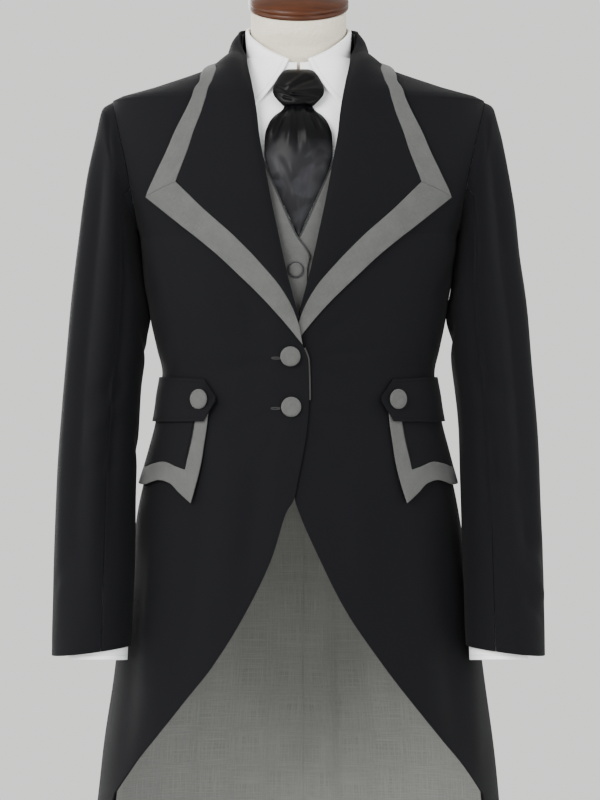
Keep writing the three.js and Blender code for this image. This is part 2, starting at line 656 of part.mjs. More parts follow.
// A point round a section of the sleeve: turn 0 is its outer line, 90 its front, 180 its inner line.
function sleeveBare(at, turn) {
  const size = (key) => sleeveSize[key](at);
  const c = Math.cos(radians(turn));
  const s = Math.sin(radians(turn));
  const across = (1 + c) / 2;
  return new THREE.Vector3(
    lerp(size("lowX"), size("topX"), across) - size("hollow") * s * s,
    -size("forward") - size("depth") * s,
    lerp(size("lowZ"), size("topZ"), across),
  );
}
function sleevePoint(at, turn, lift) {
  const point = sleeveBare(at, turn);
  const along = sleeveBare(Math.min(SLEEVE_END, at + 0.05), turn);
  along.sub(sleeveBare(Math.max(0, at - 0.05), turn));
  const round = sleeveBare(at, turn + 1).sub(sleeveBare(at, turn - 1));
  const normal = round.cross(along).normalize();
  const middle = sleeveBare(at, 0).add(sleeveBare(at, 180)).multiplyScalar(0.5);
  if (normal.dot(point.clone().sub(middle)) < 0) normal.negate();
  return point.addScaledVector(normal, lift);
}
const onSide = (sign, point) => new THREE.Vector3(point.x * sign, point.y, point.z);

const SLEEVE_STATIONS = [0.03, 0.5, 1, 2, 3, 4, 5, 6, 7, 8, 9, 10, SLEEVE_END];
const SLEEVE_SEAM_TURN = 108;
const TOP_SLEEVE_COLUMNS = 8;
const UNDER_SLEEVE_COLUMNS = 5;
function sleevePiece(name, side, fromTurn, toTurn, columns) {
  const face = (lift) =>
    SLEEVE_STATIONS.map((at) =>
      range(columns).map((t) => onSide(side.sign, sleevePoint(at, lerp(fromTurn, toTurn, t), lift))),
    );
  add(`${name}_${side.name}`, wall(face(0), face(-COAT_CLOTH)), FINISH.coatWool);
}
function coatSleeve(side) {
  const gapTurn = 0.16;
  const seam = SLEEVE_SEAM_TURN;
  sleevePiece("sleeve_top", side, -seam + gapTurn, seam - gapTurn, TOP_SLEEVE_COLUMNS);
  sleevePiece("sleeve_under", side, seam + gapTurn, 360 - seam - gapTurn, UNDER_SLEEVE_COLUMNS);
}

// HIP TABS AND FLAPS
// The tab runs from its point at the front to the side seam, and its back end is sewn in there.
const TAB = [
  { top: place(-9, 1127), low: place(-9, 1074) },
  { top: place(4, 1127), low: place(4, 1074) },
  { top: place(15, 1127), low: place(15, 1074) },
  { top: place(25, 1126), low: place(25, 1074) },
  { top: place(34, 1125), low: place(34, 1074.5) },
  { top: place(42.5, 1124), low: place(43.5, 1075) },
  { top: place(48.6, 1103.5), low: place(48.6, 1098.5) },
];
// How far the tab stands off the coat down its height, as it lies over the flap's top.
const TAB_OFF = [
  { down: 0, off: 1.6 },
  { down: 0.5, off: 5 },
  { down: 1, off: 6 },
];
function hipTab(side) {
  const rows = TAB_OFF.map(({ down, off }) =>
    TAB.map((row) => ({ ...between(row.top, row.low, down), lift: off })),
  );
  const geometry = panel(coat, side.sign, rows, COAT_CLOTH, COAT_CLOTH);
  add(`hip_tab_${side.name}`, geometry, FINISH.coatWool);
}

// The flap hangs below the tab: a black field with a grey band down its front and along its hem.
const FLAP_OUTER = [
  { spot: place(45, 1092), stand: 1.7 },
  { spot: place(44.6, 1050), stand: 1.6 },
  { spot: place(45.1, 1012), stand: 3 },
  { spot: place(45.1, 981), stand: 5 },
  { spot: place(38.8, 993), stand: 4.4 },
  { spot: place(32.5, 1004), stand: 4 },
  { spot: place(26.5, 1006.8), stand: 3.8 },
  { spot: place(14, 1000.5), stand: 4.2 },
  { spot: place(-8, 1002), stand: 4.2 },
];
const FLAP_INNER = [
  { spot: place(39.3, 1092), stand: 1.7 },
  { spot: place(38.1, 1060), stand: 1.4 },
  { spot: place(38, 1038), stand: 2 },
  { spot: place(38.4, 1020), stand: 2.8 },
  { spot: place(34.1, 1023), stand: 2.8 },
  { spot: place(26, 1028.5), stand: 2.6 },
  { spot: place(19, 1026), stand: 2.6 },
  { spot: place(9, 1021.5), stand: 3 },
  { spot: place(-8, 1023), stand: 3 },
];
const FLAP_CORNER = 3;
const FLAP_TOP = { z: 1092, stand: 1.7 };
const FLAP_CLOTH = 1.6;
const FLAP_OFF = 0.4;
// The share of the band's width that it covers, which leaves the seam gap beside the field.
const BAND_FILL = 0.985;
const flapSpot = (row) => ({ ...row.spot, lift: row.stand });
function mix(a, b, t) {
  return { ...between(a, b, t), lift: lerp(a.lift, b.lift, t) };
}
function flap(side) {
  const bandRows = FLAP_OUTER.map((row, i) =>
    [0, BAND_FILL].map((t) => mix(flapSpot(row), flapSpot(FLAP_INNER[i]), t)),
  );
  const lift = FLAP_OFF + FLAP_CLOTH;
  add(`flap_band_${side.name}`, panel(coat, side.sign, bandRows, lift, FLAP_CLOTH), FINISH.greyWool);
  const hem = FLAP_INNER.slice(FLAP_CORNER).map(flapSpot);
  const front = FLAP_INNER.slice(0, FLAP_CORNER + 1).map(flapSpot).reverse();
  const topFront = front[front.length - 1];
  const fieldRows = front.map((start) => {
    const rise = (start.z - hem[0].z) / (FLAP_TOP.z - hem[0].z);
    return hem.map((low, k) => {
      if (k === 0) return start;
      const lean = (topFront.angle - hem[0].angle) * (1 - k / (hem.length - 1));
      const high = { angle: low.angle + lean, z: FLAP_TOP.z, lift: FLAP_TOP.stand };
      return mix(low, high, rise);
    });
  });
  add(`flap_${side.name}`, panel(coat, side.sign, fieldRows, lift, FLAP_CLOTH), FINISH.coatWool);
}

// BUTTONS
// A cloth-covered button: a low dome on a surface, its flat back just clear of it.
const BUTTON_HEIGHT = 0.42;
const BUTTON_STEPS = 10;
const BUTTON_PROFILE = [
  { out: 0, up: 0 },
  { out: 0.9, up: 0 },
  { out: 1, up: 0.35 },
  { out: 0.74, up: 0.82 },
  { out: 0, up: 1 },
];
function button(name, shape, sign, x, z, lift, radius, look) {
  const profile = BUTTON_PROFILE.map(
    ({ out, up }) => new THREE.Vector2(radius * out, radius * BUTTON_HEIGHT * up),
  );
  const mesh = add(name, new THREE.LatheGeometry(profile, BUTTON_STEPS), look);
  const angle = frontAngle(shape, x, z);
  const normal = onSide(sign, outward(shape, angle, z));
  mesh.quaternion.setFromUnitVectors(new THREE.Vector3(0, 1, 0), normal);
  mesh.position.copy(onSide(sign, lifted(shape, angle, z, lift)));
}
const COAT_BUTTON_RADIUS = 11.5;
const WAISTCOAT_BUTTON_RADIUS = 8;
const FRONT_BUTTONS = [
  { name: "front_button_1", x: 9.1, z: 1150.7 },
  { name: "front_button_2", x: 8.2, z: 1092 },
];
const WAISTCOAT_BUTTONS = [
  { x: 3, z: 1250, clear: 0.3 },
  { x: 3, z: 1186, clear: 1 },
  { x: 3, z: 1122, clear: 1 },
  { x: 3, z: 1058, clear: 1 },
];
const BUTTON_CLEAR = 0.7;
const TAB_BUTTON = { x: 110, z: 1101 };

// WAISTCOAT, on the form's surface
const WAISTCOAT_LIFT = 6.8;
const WAISTCOAT_BACK_LIFT = 8;
const WAISTCOAT_EDGE = [
  { z: 1490, x: 79 },
  { z: 1465, x: 68 },
  { z: 1437, x: 57 },
  { z: 1380, x: 42 },
  { z: 1335, x: 23.5 },
  { z: 1291, x: 3.7 },
  { z: 1263, x: -12.4 },
  { z: 1251, x: -10 },
  { z: 1030, x: -10 },
];
const waistcoatEdge = curve(WAISTCOAT_EDGE, "z", "x");
const WAISTCOAT_ARMHOLE = [
  { z: 1462, front: 0, back: 0 },
  { z: 1440, front: 16, back: -14 },
  { z: 1400, front: 27, back: -22 },
  { z: 1350, front: 28, back: -23 },
  { z: 1330, front: 18.5, back: -17.5 },
  { z: 1315, front: 9, back: -9 },
  { z: 1301, front: 0, back: 0 },
];
const waistcoatArmFront = curve(WAISTCOAT_ARMHOLE, "z", "front");
const waistcoatArmBack = curve(WAISTCOAT_ARMHOLE, "z", "back");
const TORSO_ROWS = [
  1500, 1492, 1483, 1471, 1459, 1443, 1420, 1392, 1350, 1330, 1315, 1301, 1250, 1150, 1100, 1060, 1030,
];
const TORSO_FRONT_COLUMNS = 6;
const TORSO_BACK_COLUMNS = 12;
const WAISTCOAT_ROWS = TORSO_ROWS.slice(2);
// The left front laps over the right one by this much, from the V's foot down.
const WAISTCOAT_LAP = 3;
const LAP_X = { full: 14, end: 45 };
const LAP_Z = { full: 1291, end: 1350 };
function waistcoatFront(side) {
  const lap = (x, z) => {
    const beside = smoothstep(x, LAP_X.full, LAP_X.end);
    const above = smoothstep(z, LAP_Z.full, LAP_Z.end);
    return side.sign === left ? WAISTCOAT_LAP * (1 - beside) * (1 - above) : 0;
  };
  const edge = (z) => frontAngle(form, waistcoatEdge(z), z);
  const rows = rowsBetween(form, WAISTCOAT_ROWS, edge, waistcoatArmFront, TORSO_FRONT_COLUMNS, lap);
  const geometry = panel(form, side.sign, rows, WAISTCOAT_LIFT, WAISTCOAT_CLOTH);
  add(`waistcoat_front_${side.name}`, geometry, FINISH.greyWool);
}
function waistcoatBack() {
  const to = (z) => -180 - waistcoatArmBack(z);
  const rows = rowsBetween(form, WAISTCOAT_ROWS, waistcoatArmBack, to, TORSO_BACK_COLUMNS);
  const geometry = panel(form, right, rows, WAISTCOAT_BACK_LIFT, WAISTCOAT_CLOTH);
  add("waistcoat_back", geometry, FINISH.greyWool);
}

// SHIRT, on the form's surface
const SHIRT_LIFT = -0.1;
const SHIRT_NECK = [
  { z: 1502, angle: 5 },
  { z: 1494, angle: 35 },
  { z: 1484, angle: 60 },
  { z: 1474, angle: 83 },
  { z: 1470, angle: 90 },
];
const shirtNeck = curve(SHIRT_NECK, "z", "angle");
const shirtArm = (ahead) => (z) =>
  Math.abs(z - SHIRT_ARMHOLE.z) < SHIRT_ARMHOLE.half ? ringAngle(form, SHIRT_ARMHOLE, z, ahead) : 0;
function shirtBody(side) {
  const rows = rowsBetween(form, TORSO_ROWS, shirtNeck, shirtArm(true), TORSO_FRONT_COLUMNS);
  const geometry = panel(form, side.sign, rows, SHIRT_LIFT, SHIRT_CLOTH);
  add(`shirt_front_${side.name}`, geometry, FINISH.poplin);
}
function shirtBack() {
  const from = shirtArm(false);
  const rows = rowsBetween(form, TORSO_ROWS, from, (z) => -180 - from(z), TORSO_BACK_COLUMNS);
  const geometry = panel(form, right, rows, SHIRT_LIFT, SHIRT_CLOTH);
  add("shirt_back", geometry, FINISH.poplin);
}

// The shirt collar: the line where its stand ends and its leaf folds over, and the stand's foot.
const COLLAR_FOLD = [
  { angle: 81, z: 1494, foot: 1474.2 },
  { angle: 56.6, z: 1506, foot: 1486 },
  { angle: 34, z: 1520, foot: 1494.2 },
  { angle: 4.5, z: 1534, foot: 1501.7 },
  { angle: -40, z: 1544, foot: 1501.7 },
  { angle: -90, z: 1549, foot: 1501.7 },
];
const foldZ = curve(COLLAR_FOLD, "angle", "z");
const footZ = curve(COLLAR_FOLD, "angle", "foot");
const SHIRT_STAND = { frontEnd: 82, lift: 1.5, cloth: 1.2, belowFold: 1.8, shares: [0, 0.17, 0.45, 1] };
function shirtCollarStand() {
  const { frontEnd, lift, cloth, belowFold, shares } = SHIRT_STAND;
  const high = (angle) => foldZ(angle) - belowFold;
  const geometry = neckBand(form, frontEnd, shares, footZ, high, lift, cloth);
  add("shirt_collar_stand", geometry, FINISH.poplin);
}
// The leaf's free edge for places along the fold, from the centre back to the collar point.
const LEAF = [
  { fold: -90, edge: place(-90, 1506), bulge: 0.5 },
  { fold: -74, edge: place(-74, 1505), bulge: 0.5 },
  { fold: -58, edge: place(-58, 1504), bulge: 0.5 },
  { fold: -42, edge: place(-42, 1503), bulge: 0.5 },
  { fold: -26, edge: place(-26, 1502), bulge: 0.5 },
  { fold: -11, edge: place(-11, 1501), bulge: 0.5 },
  { fold: 4.5, edge: place(4, 1500), bulge: 0.6 },
  { fold: 20, edge: { angle: frontAngle(form, 68, 1493), z: 1493 }, bulge: 0.9 },
  { fold: 34, edge: { angle: frontAngle(form, 66, 1485), z: 1485 }, bulge: 1.3 },
  { fold: 48, edge: { angle: frontAngle(form, 62, 1472), z: 1472 }, bulge: 1.8 },
  { fold: 62, edge: { angle: frontAngle(form, 57, 1457), z: 1457 }, bulge: 2.2 },
  { fold: 79, edge: { angle: frontAngle(form, 50.5, 1437), z: 1437 }, bulge: 2.2 },
];
const LEAF_CLOTH = 1.1;
const LEAF_FOLD_LIFT = 4.9;
const LEAF_EDGE_LIFT = 3;
const LEAF_COLUMNS = [0.06, 0.3, 0.62, 1];
function shirtCollarLeaf(side) {
  const rows = LEAF.map((row) => {
    const fold = place(row.fold, foldZ(row.fold));
    const hook = [
      { ...fold, z: fold.z - 0.4, lift: 0.6 },
      { ...fold, z: fold.z + 1.2, lift: 2.4 },
    ];
    const fall = LEAF_COLUMNS.map((t) => ({
      ...between(fold, row.edge, t),
      lift: lerp(LEAF_FOLD_LIFT, LEAF_EDGE_LIFT, t) + row.bulge * Math.sin(Math.PI * t),
    }));
    return [...hook, ...fall];
  });
  rows[0] = rows[0].map((spot) => ({
    ...spot,
    angle: nudge(form, spot.angle, spot.z, SEAM_GAP / 2),
  }));
  const geometry = panel(form, side.sign, rows, LEAF_CLOTH, LEAF_CLOTH);
  add(`shirt_collar_${side.name}`, geometry, FINISH.poplin);
}

// The shirt sleeve runs from the shirt's armhole down inside the coat sleeve to the cuff.
const SHIRT_SLEEVE = [
  { at: 0.3, lift: -10 },
  { at: 1.2, lift: -9 },
  { at: 2.5, lift: -6 },
  { at: 4, lift: -5 },
  { at: 6, lift: -5.7 },
  { at: 8, lift: -5 },
  { at: 9.4, lift: -5.5 },
];
const CUFF = {
  top: { x: 232.8, y: -53, z: 852, halfWidth: 36, halfDepth: 44.5 },
  low: { x: 233, y: -60, z: 798, halfWidth: 34.2, halfDepth: 42.6 },
  tilt: 3.5,
};
const SLEEVE_CLEAR = 1.7;
const ROUND_STEPS = 12;
const turns = (count) => range(count).slice(0, count).map((t) => t * 360);
function shirtArmholePoint(turn, inset) {
  const { z: middle, half, depth } = SHIRT_ARMHOLE;
  const z = middle + (half - inset) * Math.cos(radians(turn));
  const y = (depth - inset) * Math.sin(radians(turn));
  const forward = y >= 0;
  const part = Math.pow(Math.abs(y) / form.depth(z, forward), SQUARENESS);
  const x = form.width(z, forward) * Math.pow(1 - part, 1 / SQUARENESS);
  return new THREE.Vector3(x + SHIRT_LIFT + SLEEVE_CLEAR, -y, z);
}
function cuffPoint(t, turn, inset) {
  const size = (key) => lerp(CUFF.top[key], CUFF.low[key], t);
  const c = Math.cos(radians(turn));
  const s = Math.sin(radians(turn));
  return new THREE.Vector3(
    size("x") + (size("halfWidth") - inset) * c,
    size("y") - (size("halfDepth") - inset) * s,
    size("z") + t * CUFF.tilt * s,
  );
}
function shirtSleeve(side) {
  const face = (inset) => [
    turns(ROUND_STEPS).map((turn) => onSide(side.sign, shirtArmholePoint(turn, inset))),
    ...SHIRT_SLEEVE.map((row) =>
      turns(ROUND_STEPS).map((turn) => onSide(side.sign, sleevePoint(row.at, turn, row.lift - inset))),
    ),
    turns(ROUND_STEPS).map((turn) => {
      const point = cuffPoint(0, turn, inset);
      point.z += SEAM_GAP;
      return onSide(side.sign, point);
    }),
  ];
  add(`shirt_sleeve_${side.name}`, wall(face(0), face(SHIRT_CLOTH), true), FINISH.poplin);
}
const CUFF_CLOTH = 1.6;
const CUFF_STEPS = 16;
function shirtCuff(side) {
  const face = (inset) =>
    range(1).map((t) =>
      turns(CUFF_STEPS).map((turn) => onSide(side.sign, cuffPoint(t, turn, inset))),
    );
  add(`shirt_cuff_${side.name}`, wall(face(0), face(CUFF_CLOTH), true), FINISH.poplin);
}

// CRAVAT: a band under the shirt collar's leaf, a wound knot and a puffed tail down to the V.
const CRAVAT_BAND = [
  { angle: 76, z: 1482.5 },
  { angle: 56, z: 1494 },
  { angle: 34, z: 1505 },
  { angle: 5, z: 1517 },
  { angle: -40, z: 1524 },
  { angle: -90, z: 1526 },
];
const bandZ = curve(CRAVAT_BAND, "angle", "z");
const CRAVAT_RING = { frontEnd: 72, half: 4.5, lift: 3.4, cloth: 0.8 };
const KNOT = [
  { z: 1482, half: 15.5, thick: 8 },
  { z: 1478, half: 19, thick: 12 },
  { z: 1468, half: 25, thick: 17 },
  { z: 1457, half: 30, thick: 19 },
  { z: 1448, half: 25, thick: 18 },
  { z: 1441, half: 19.5, thick: 15 },
  { z: 1438.5, half: 17, thick: 10 },
];
const TAIL = [
  { z: 1431, half: 18.5, puff: 7 },
  { z: 1424, half: 27, puff: 11 },
  { z: 1415, half: 33.5, puff: 14 },
  { z: 1400, half: 38, puff: 17 },
  { z: 1381, half: 38.5, puff: 16 },
  { z: 1360, half: 33.4, puff: 13 },
  { z: 1335, half: 22.4, puff: 9 },
  { z: 1312, half: 11.5, puff: 6 },
  { z: 1297, half: 5, puff: 4.5 },
];
const CRAVAT_CLEAR = 2.7;
const KNOT_CLEAR = 1.2;
const KNOT_STEPS = 14;
const CRAVAT_COLUMNS = 8;
// The share of the tail's width at which its puffed sides begin, and how full their round is.
const PUFF = { margin: 0.04, fullness: 0.7 };
function cravat() {
  const { frontEnd, half: bandHalf, lift: bandLift, cloth } = CRAVAT_RING;
  const low = (angle) => bandZ(angle) - bandHalf;
  const high = (angle) => bandZ(angle) + bandHalf;
  add("cravat_band", neckBand(form, frontEnd, [0, 1], low, high, bandLift, cloth), FINISH.satin);
  const rings = KNOT.map(({ z, half, thick }) => {
    const back = -bare(form, 90, z).y + KNOT_CLEAR;
    return turns(KNOT_STEPS).map((turn) => {
      const x = half * Math.cos(radians(turn));
      const y = back + (thick / 2) * (1 - Math.sin(radians(turn)));
      return new THREE.Vector3(x, -y, z);
    });
  });
  add("cravat_knot", ringSolid(rings), FINISH.satin);
  const face = (inset) =>
    TAIL.map(({ z, half, puff }) =>
      range(CRAVAT_COLUMNS).map((t) => {
        const x = lerp(-half, half, t);
        const along = lerp(PUFF.margin, 1 - PUFF.margin, t);
        const swell = puff * Math.pow(Math.sin(Math.PI * along), PUFF.fullness);
        return lifted(form, frontAngle(form, x, z), z, CRAVAT_CLEAR + SATIN + swell - inset);
      }),
    );
  add("cravat_tail", wall(face(0), face(SATIN)), FINISH.satin);
}

// DRESS FORM AND STAND
const CAP = { tilt: 21, z: 1562, y: -2, gap: 0.5, steps: 16 };
const CAP_PROFILE = [
  { radius: 0, up: 0 },
  { radius: 58, up: 0 },
  { radius: 59, up: 1.5 },
  { radius: 59, up: 9 },
  { radius: 56.5, up: 12.5 },
  { radius: 40, up: 21 },
  { radius: 12, up: 27 },
  { radius: 14, up: 36 },
  { radius: 0, up: 43 },
];
const lathe = (profile, steps) => {
  const line = profile.map(({ radius, up }) => new THREE.Vector2(radius, up));
  return new THREE.LatheGeometry(line, steps).rotateX(Math.PI / 2);
};
const FORM_STEPS = 24;
const FORM_ROWS = [
  995, 1060, 1100, 1150, 1250, 1301, 1350, 1392, 1443, 1459, 1471, 1483, 1492, 1500, 1512,
];
// How far inside its own surface the form's wall lies: less at the bare neck.
const FORM_INSET = [
  { z: 1435, inset: 11 },
  { z: 1500, inset: 5 },
  { z: 1530, inset: 1.2 },
];
const formInset = curve(FORM_INSET, "z", "inset");
const NECK_SHARES = [0.5, 1];
const tiltedTop = (y) => CAP.z + y * Math.tan(radians(CAP.tilt));
function dressForm() {
  const neckFrom = FORM_ROWS[FORM_ROWS.length - 1];
  const at = (angle, z) => lifted(form, angle, z, -formInset(z));
  const body = FORM_ROWS.map((z) => turns(FORM_STEPS).map((angle) => at(angle, z)));
  const neck = NECK_SHARES.map((t) =>
    turns(FORM_STEPS).map((angle) => {
      const point = at(angle, CAP.z);
      return point.setZ(lerp(neckFrom, tiltedTop(point.y), t));
    }),
  );
  add("form_torso", ringSolid([...body, ...neck]), FINISH.linen);
  const cap = add("neck_cap", lathe(CAP_PROFILE, CAP.steps), FINISH.wood);
  cap.rotation.x = radians(CAP.tilt);
  cap.position.set(0, CAP.y, tiltedTop(CAP.y) + CAP.gap);
}

// The stand: a round base, and a rod that rises behind the tails, bends forward through the top of
// the vent and ends at the form's back.
const BASE = { radius: 210, thick: 12, y: 60, steps: 24 };
const BASE_PROFILE = [
  { radius: 0, up: 0 },
  { radius: BASE.radius - 2, up: 0 },
  { radius: BASE.radius, up: 2 },
  { radius: BASE.radius, up: BASE.thick - 3 },
  { radius: BASE.radius - 3, up: BASE.thick },
  { radius: 0, up: BASE.thick },
];
const ROD = { radius: 10, y: 217, bend: 34, throughZ: 1012, sides: 10, bendSteps: 6, straightSteps: 4 };
const ROD_RING = { hole: ROD.radius + 0.4, radius: 22, waist: 15, flange: 4, height: 26, steps: 12 };
const ROD_RING_PROFILE = [
  { radius: ROD_RING.hole, up: 0 },
  { radius: ROD_RING.radius, up: 0 },
  { radius: ROD_RING.radius, up: ROD_RING.flange },
  { radius: ROD_RING.waist, up: ROD_RING.height },
  { radius: ROD_RING.hole, up: ROD_RING.height },
  { radius: ROD_RING.hole, up: 0 },
];
function rodPath() {
  const lowZ = ROD.throughZ - ROD.radius;
  const formBack = lifted(form, -90, lowZ, SEAM_GAP - formInset(lowZ)).y;
  const foot = new THREE.Vector3(0, ROD.y, BASE.thick + SEAM_GAP);
  const knee = new THREE.Vector3(0, ROD.y, ROD.throughZ - ROD.bend);
  const corner = new THREE.Vector3(0, ROD.y, ROD.throughZ);
  const arm = new THREE.Vector3(0, ROD.y - ROD.bend, ROD.throughZ);
  return [
    ...range(ROD.straightSteps).map((t) => foot.clone().lerp(knee, t)),
    ...new THREE.QuadraticBezierCurve3(knee, corner, arm).getPoints(ROD.bendSteps).slice(1),
    new THREE.Vector3(0, formBack, ROD.throughZ),
  ];
}
function stand() {
  const base = add("stand_base", lathe(BASE_PROFILE, BASE.steps), FINISH.steel);
  base.position.y = BASE.y;
  const path = rodPath();
  const across = new THREE.Vector3(1, 0, 0);
  const rings = path.map((point, i) => {
    const along = path[Math.min(path.length - 1, i + 1)].clone().sub(path[Math.max(0, i - 1)]);
    const up = along.normalize().cross(across);
    return turns(ROD.sides).map((turn) =>
      point
        .clone()
        .addScaledVector(across, ROD.radius * Math.cos(radians(turn)))
        .addScaledVector(up, ROD.radius * Math.sin(radians(turn))),
    );
  });
  add("stand_rod", ringSolid(rings), FINISH.steel);
  const ring = add("stand_collar", lathe(ROD_RING_PROFILE, ROD_RING.steps), FINISH.steel);
  ring.position.set(0, ROD.y, BASE.thick + SEAM_GAP);
}

for (const side of SIDES) {
  coatBody(side);
  tailLining(side);
  lapel(side);
  lapelBands(side);
  coatSleeve(side);
  hipTab(side);
  flap(side);
  const { x, z } = TAB_BUTTON;
  const lift = TAB_OFF[1].off + COAT_CLOTH + BUTTON_CLEAR;
  button(`tab_button_${side.name}`, coat, side.sign, x, z, lift, COAT_BUTTON_RADIUS, FINISH.greyWool);
  waistcoatFront(side);
  shirtBody(side);
  shirtCollarLeaf(side);
  shirtSleeve(side);
  shirtCuff(side);
}
coatCollarStand();
frontEdging();
for (const { name, x, z } of FRONT_BUTTONS) {
  button(name, coat, left, x, z, lapHeight(z) + BUTTON_CLEAR, COAT_BUTTON_RADIUS, FINISH.greyWool);
}
waistcoatBack();
WAISTCOAT_BUTTONS.forEach(({ x, z, clear }, i) => {
  const lift = WAISTCOAT_LIFT + WAISTCOAT_LAP + clear;
  button(`waistcoat_button_${i + 1}`, form, left, x, z, lift, WAISTCOAT_BUTTON_RADIUS, FINISH.greyWool);
});
shirtBack();
shirtCollarStand();
cravat();
dressForm();
stand();

export default suit;
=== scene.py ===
"""A morning suit on a limbless dress form: the finish of every surface, in the frame of the solids.

Sizes in the tables are millimetres. A place on a round surface is an angle and a height: angle 0 is
the wearer's side, +90 the centre front and -90 the centre back, and x is measured outwards from the
centre line on the piece's own side, so a negative x lies past the centre line.
"""

import math

import bpy
import numpy as np
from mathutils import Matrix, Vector


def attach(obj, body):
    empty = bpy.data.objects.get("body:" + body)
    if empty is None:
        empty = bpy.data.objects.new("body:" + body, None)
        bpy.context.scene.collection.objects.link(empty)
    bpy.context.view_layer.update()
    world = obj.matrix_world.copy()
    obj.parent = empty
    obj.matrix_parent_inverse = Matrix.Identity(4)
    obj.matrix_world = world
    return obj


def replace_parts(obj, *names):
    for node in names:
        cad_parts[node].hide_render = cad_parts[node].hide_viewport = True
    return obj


bl_info = {
    "name": "Morning suit on a dress form",
    "version": (1, 0, 0),
    "blender": (4, 5, 0),
    "location": "View3D > Sidebar > Suit",
    "description": "Cloth, trim, form and stand of a cutaway morning suit",
    "category": "Object",
}

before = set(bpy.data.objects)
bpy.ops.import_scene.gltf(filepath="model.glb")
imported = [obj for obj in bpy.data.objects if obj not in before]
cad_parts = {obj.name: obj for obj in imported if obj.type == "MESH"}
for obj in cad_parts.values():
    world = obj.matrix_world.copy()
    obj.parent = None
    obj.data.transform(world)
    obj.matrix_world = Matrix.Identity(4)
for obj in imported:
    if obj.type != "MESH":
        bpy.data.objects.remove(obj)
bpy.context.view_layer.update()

MM = 0.001
SQUARENESS = 2.3
SEAM_GAP = 0.06
COAT_CLOTH = 2.0
WAISTCOAT_CLOTH = 1.6
SHIRT_CLOTH = 1.0
SIDES = (("left", -1), ("right", 1))

# z, side, front, back, centre: half widths and depths of the coat's outer face.
COAT_TABLE = (
    (1560, 66, 56, 68, 0),
    (1545, 66, 56, 68, 0),
    (1531, 67, 57, 70, 0),
    (1516, 70, 60, 74, 0),
    (1502, 76, 66, 78, 0),
    (1487, 112, 78, 92, 0),
    (1467, 171, 92, 104, 0),
    (1451, 219, 101, 111, 0),
    (1430, 219, 108, 117, 0),
    (1400, 215, 120, 123, 0),
    (1350, 200, 134, 128, 0),
    (1300, 188, 140, 127, 0),
    (1290, 187, 140, 126, 0),
    (1265, 184, 139, 124, 0),
    (1230, 179, 135, 119, 0),
    (1193, 174, 129, 113, 0),
    (1159, 167, 125, 107, 0),
    (1130, 161, 122, 104, 0),
    (1100, 162, 122, 104, 0),
    (1075, 165, 123, 108, 0),
    (1041, 173, 128, 116, 2),
    (1005, 182, 139, 118, 10),
    (967, 190, 154, 116, 22),
    (900, 201, 177, 110, 40),
    (811, 216, 200, 106, 57),
    (787, 219, 204, 107, 59),
    (672, 235, 210, 118, 60),
    (560, 246, 212, 124, 60),
    (470, 254, 212, 128, 60),
)
# z, side, front, back, centre: the same for the dress form.
FORM_TABLE = (
    (1600, 57.5, 58, 53, 0),
    (1540, 57.5, 57, 55, 0),
    (1510, 57.5, 54.5, 60, 0),
    (1499, 60, 56, 65, 0),
    (1492, 73, 58, 72, 0),
    (1476, 110, 65, 85, 0),
    (1456, 169, 78, 97, 0),
    (1448, 188, 84, 98.5, 0),
    (1435, 194, 93, 104.5, 0),
    (1400, 193, 109, 111.5, 0),
    (1350, 186, 121, 115.5, 0),
    (1300, 176, 125, 114, 0),
    (1250, 167, 121, 110, 0),
    (1200, 159, 113, 102, 0),
    (1150, 150, 107, 93, 0),
    (1100, 146, 105, 90, 0),
    (1050, 153, 108, 96, 0),
    (995, 163, 110, 103, 0),
)
COAT_RING = {"z": 1370.5, "half": 80.5, "depth": 63}
COAT_RING_X = {"low": 187, "top": 219, "hollow": 3.5}
SHIRT_RING = {"z": 1379, "half": 64, "depth": 52}


def smooth(xs, ys, at):
    """A curve through points that never overshoots: on each span a cubic whose end slopes are the
    harmonic mean of the neighbouring slopes, or 0 at a turn."""
    xs, ys = np.asarray(xs, float), np.asarray(ys, float)
    order = np.argsort(xs)
    xs, ys = xs[order], ys[order]
    slope = np.diff(ys) / np.diff(xs)
    tangent = np.empty_like(ys)
    tangent[0], tangent[-1] = slope[0], slope[-1]
    a, b = slope[:-1], slope[1:]
    turn = a * b <= 0
    tangent[1:-1] = np.where(turn, 0, 2 * a * b / np.where(turn, 1, a + b))
    at = np.clip(np.asarray(at, float), xs[0], xs[-1])
    i = np.clip(np.searchsorted(xs, at, side="right") - 1, 0, len(xs) - 2)
    span = xs[i + 1] - xs[i]
    t = (at - xs[i]) / span
    s = 1 - t
    return (
        ys[i] * (1 + 2 * t) * s * s
        + tangent[i] * span * t * s * s
        + ys[i + 1] * t * t * (3 - 2 * t)
        - tangent[i + 1] * span * t * t * s
    )


def column(table, n, at, key=0):
    """The smooth curve through column n of a table over its column key."""
    return smooth([row[key] for row in table], [row[n] for row in table], at)


def ease(x, low, high):
    """0 below low, 1 above high, and a smooth S between them."""
    t = np.clip((np.asarray(x, float) - low) / (high - low), 0, 1)
    return t * t * (3 - 2 * t)


def mixed(a, b, t):
    return a + (b - a) * t


def ring_depth(ring, z):
    t = (np.asarray(z, float) - ring["z"]) / ring["half"]
    return ring["depth"] * np.sqrt(np.clip(1 - t * t, 0, 1))


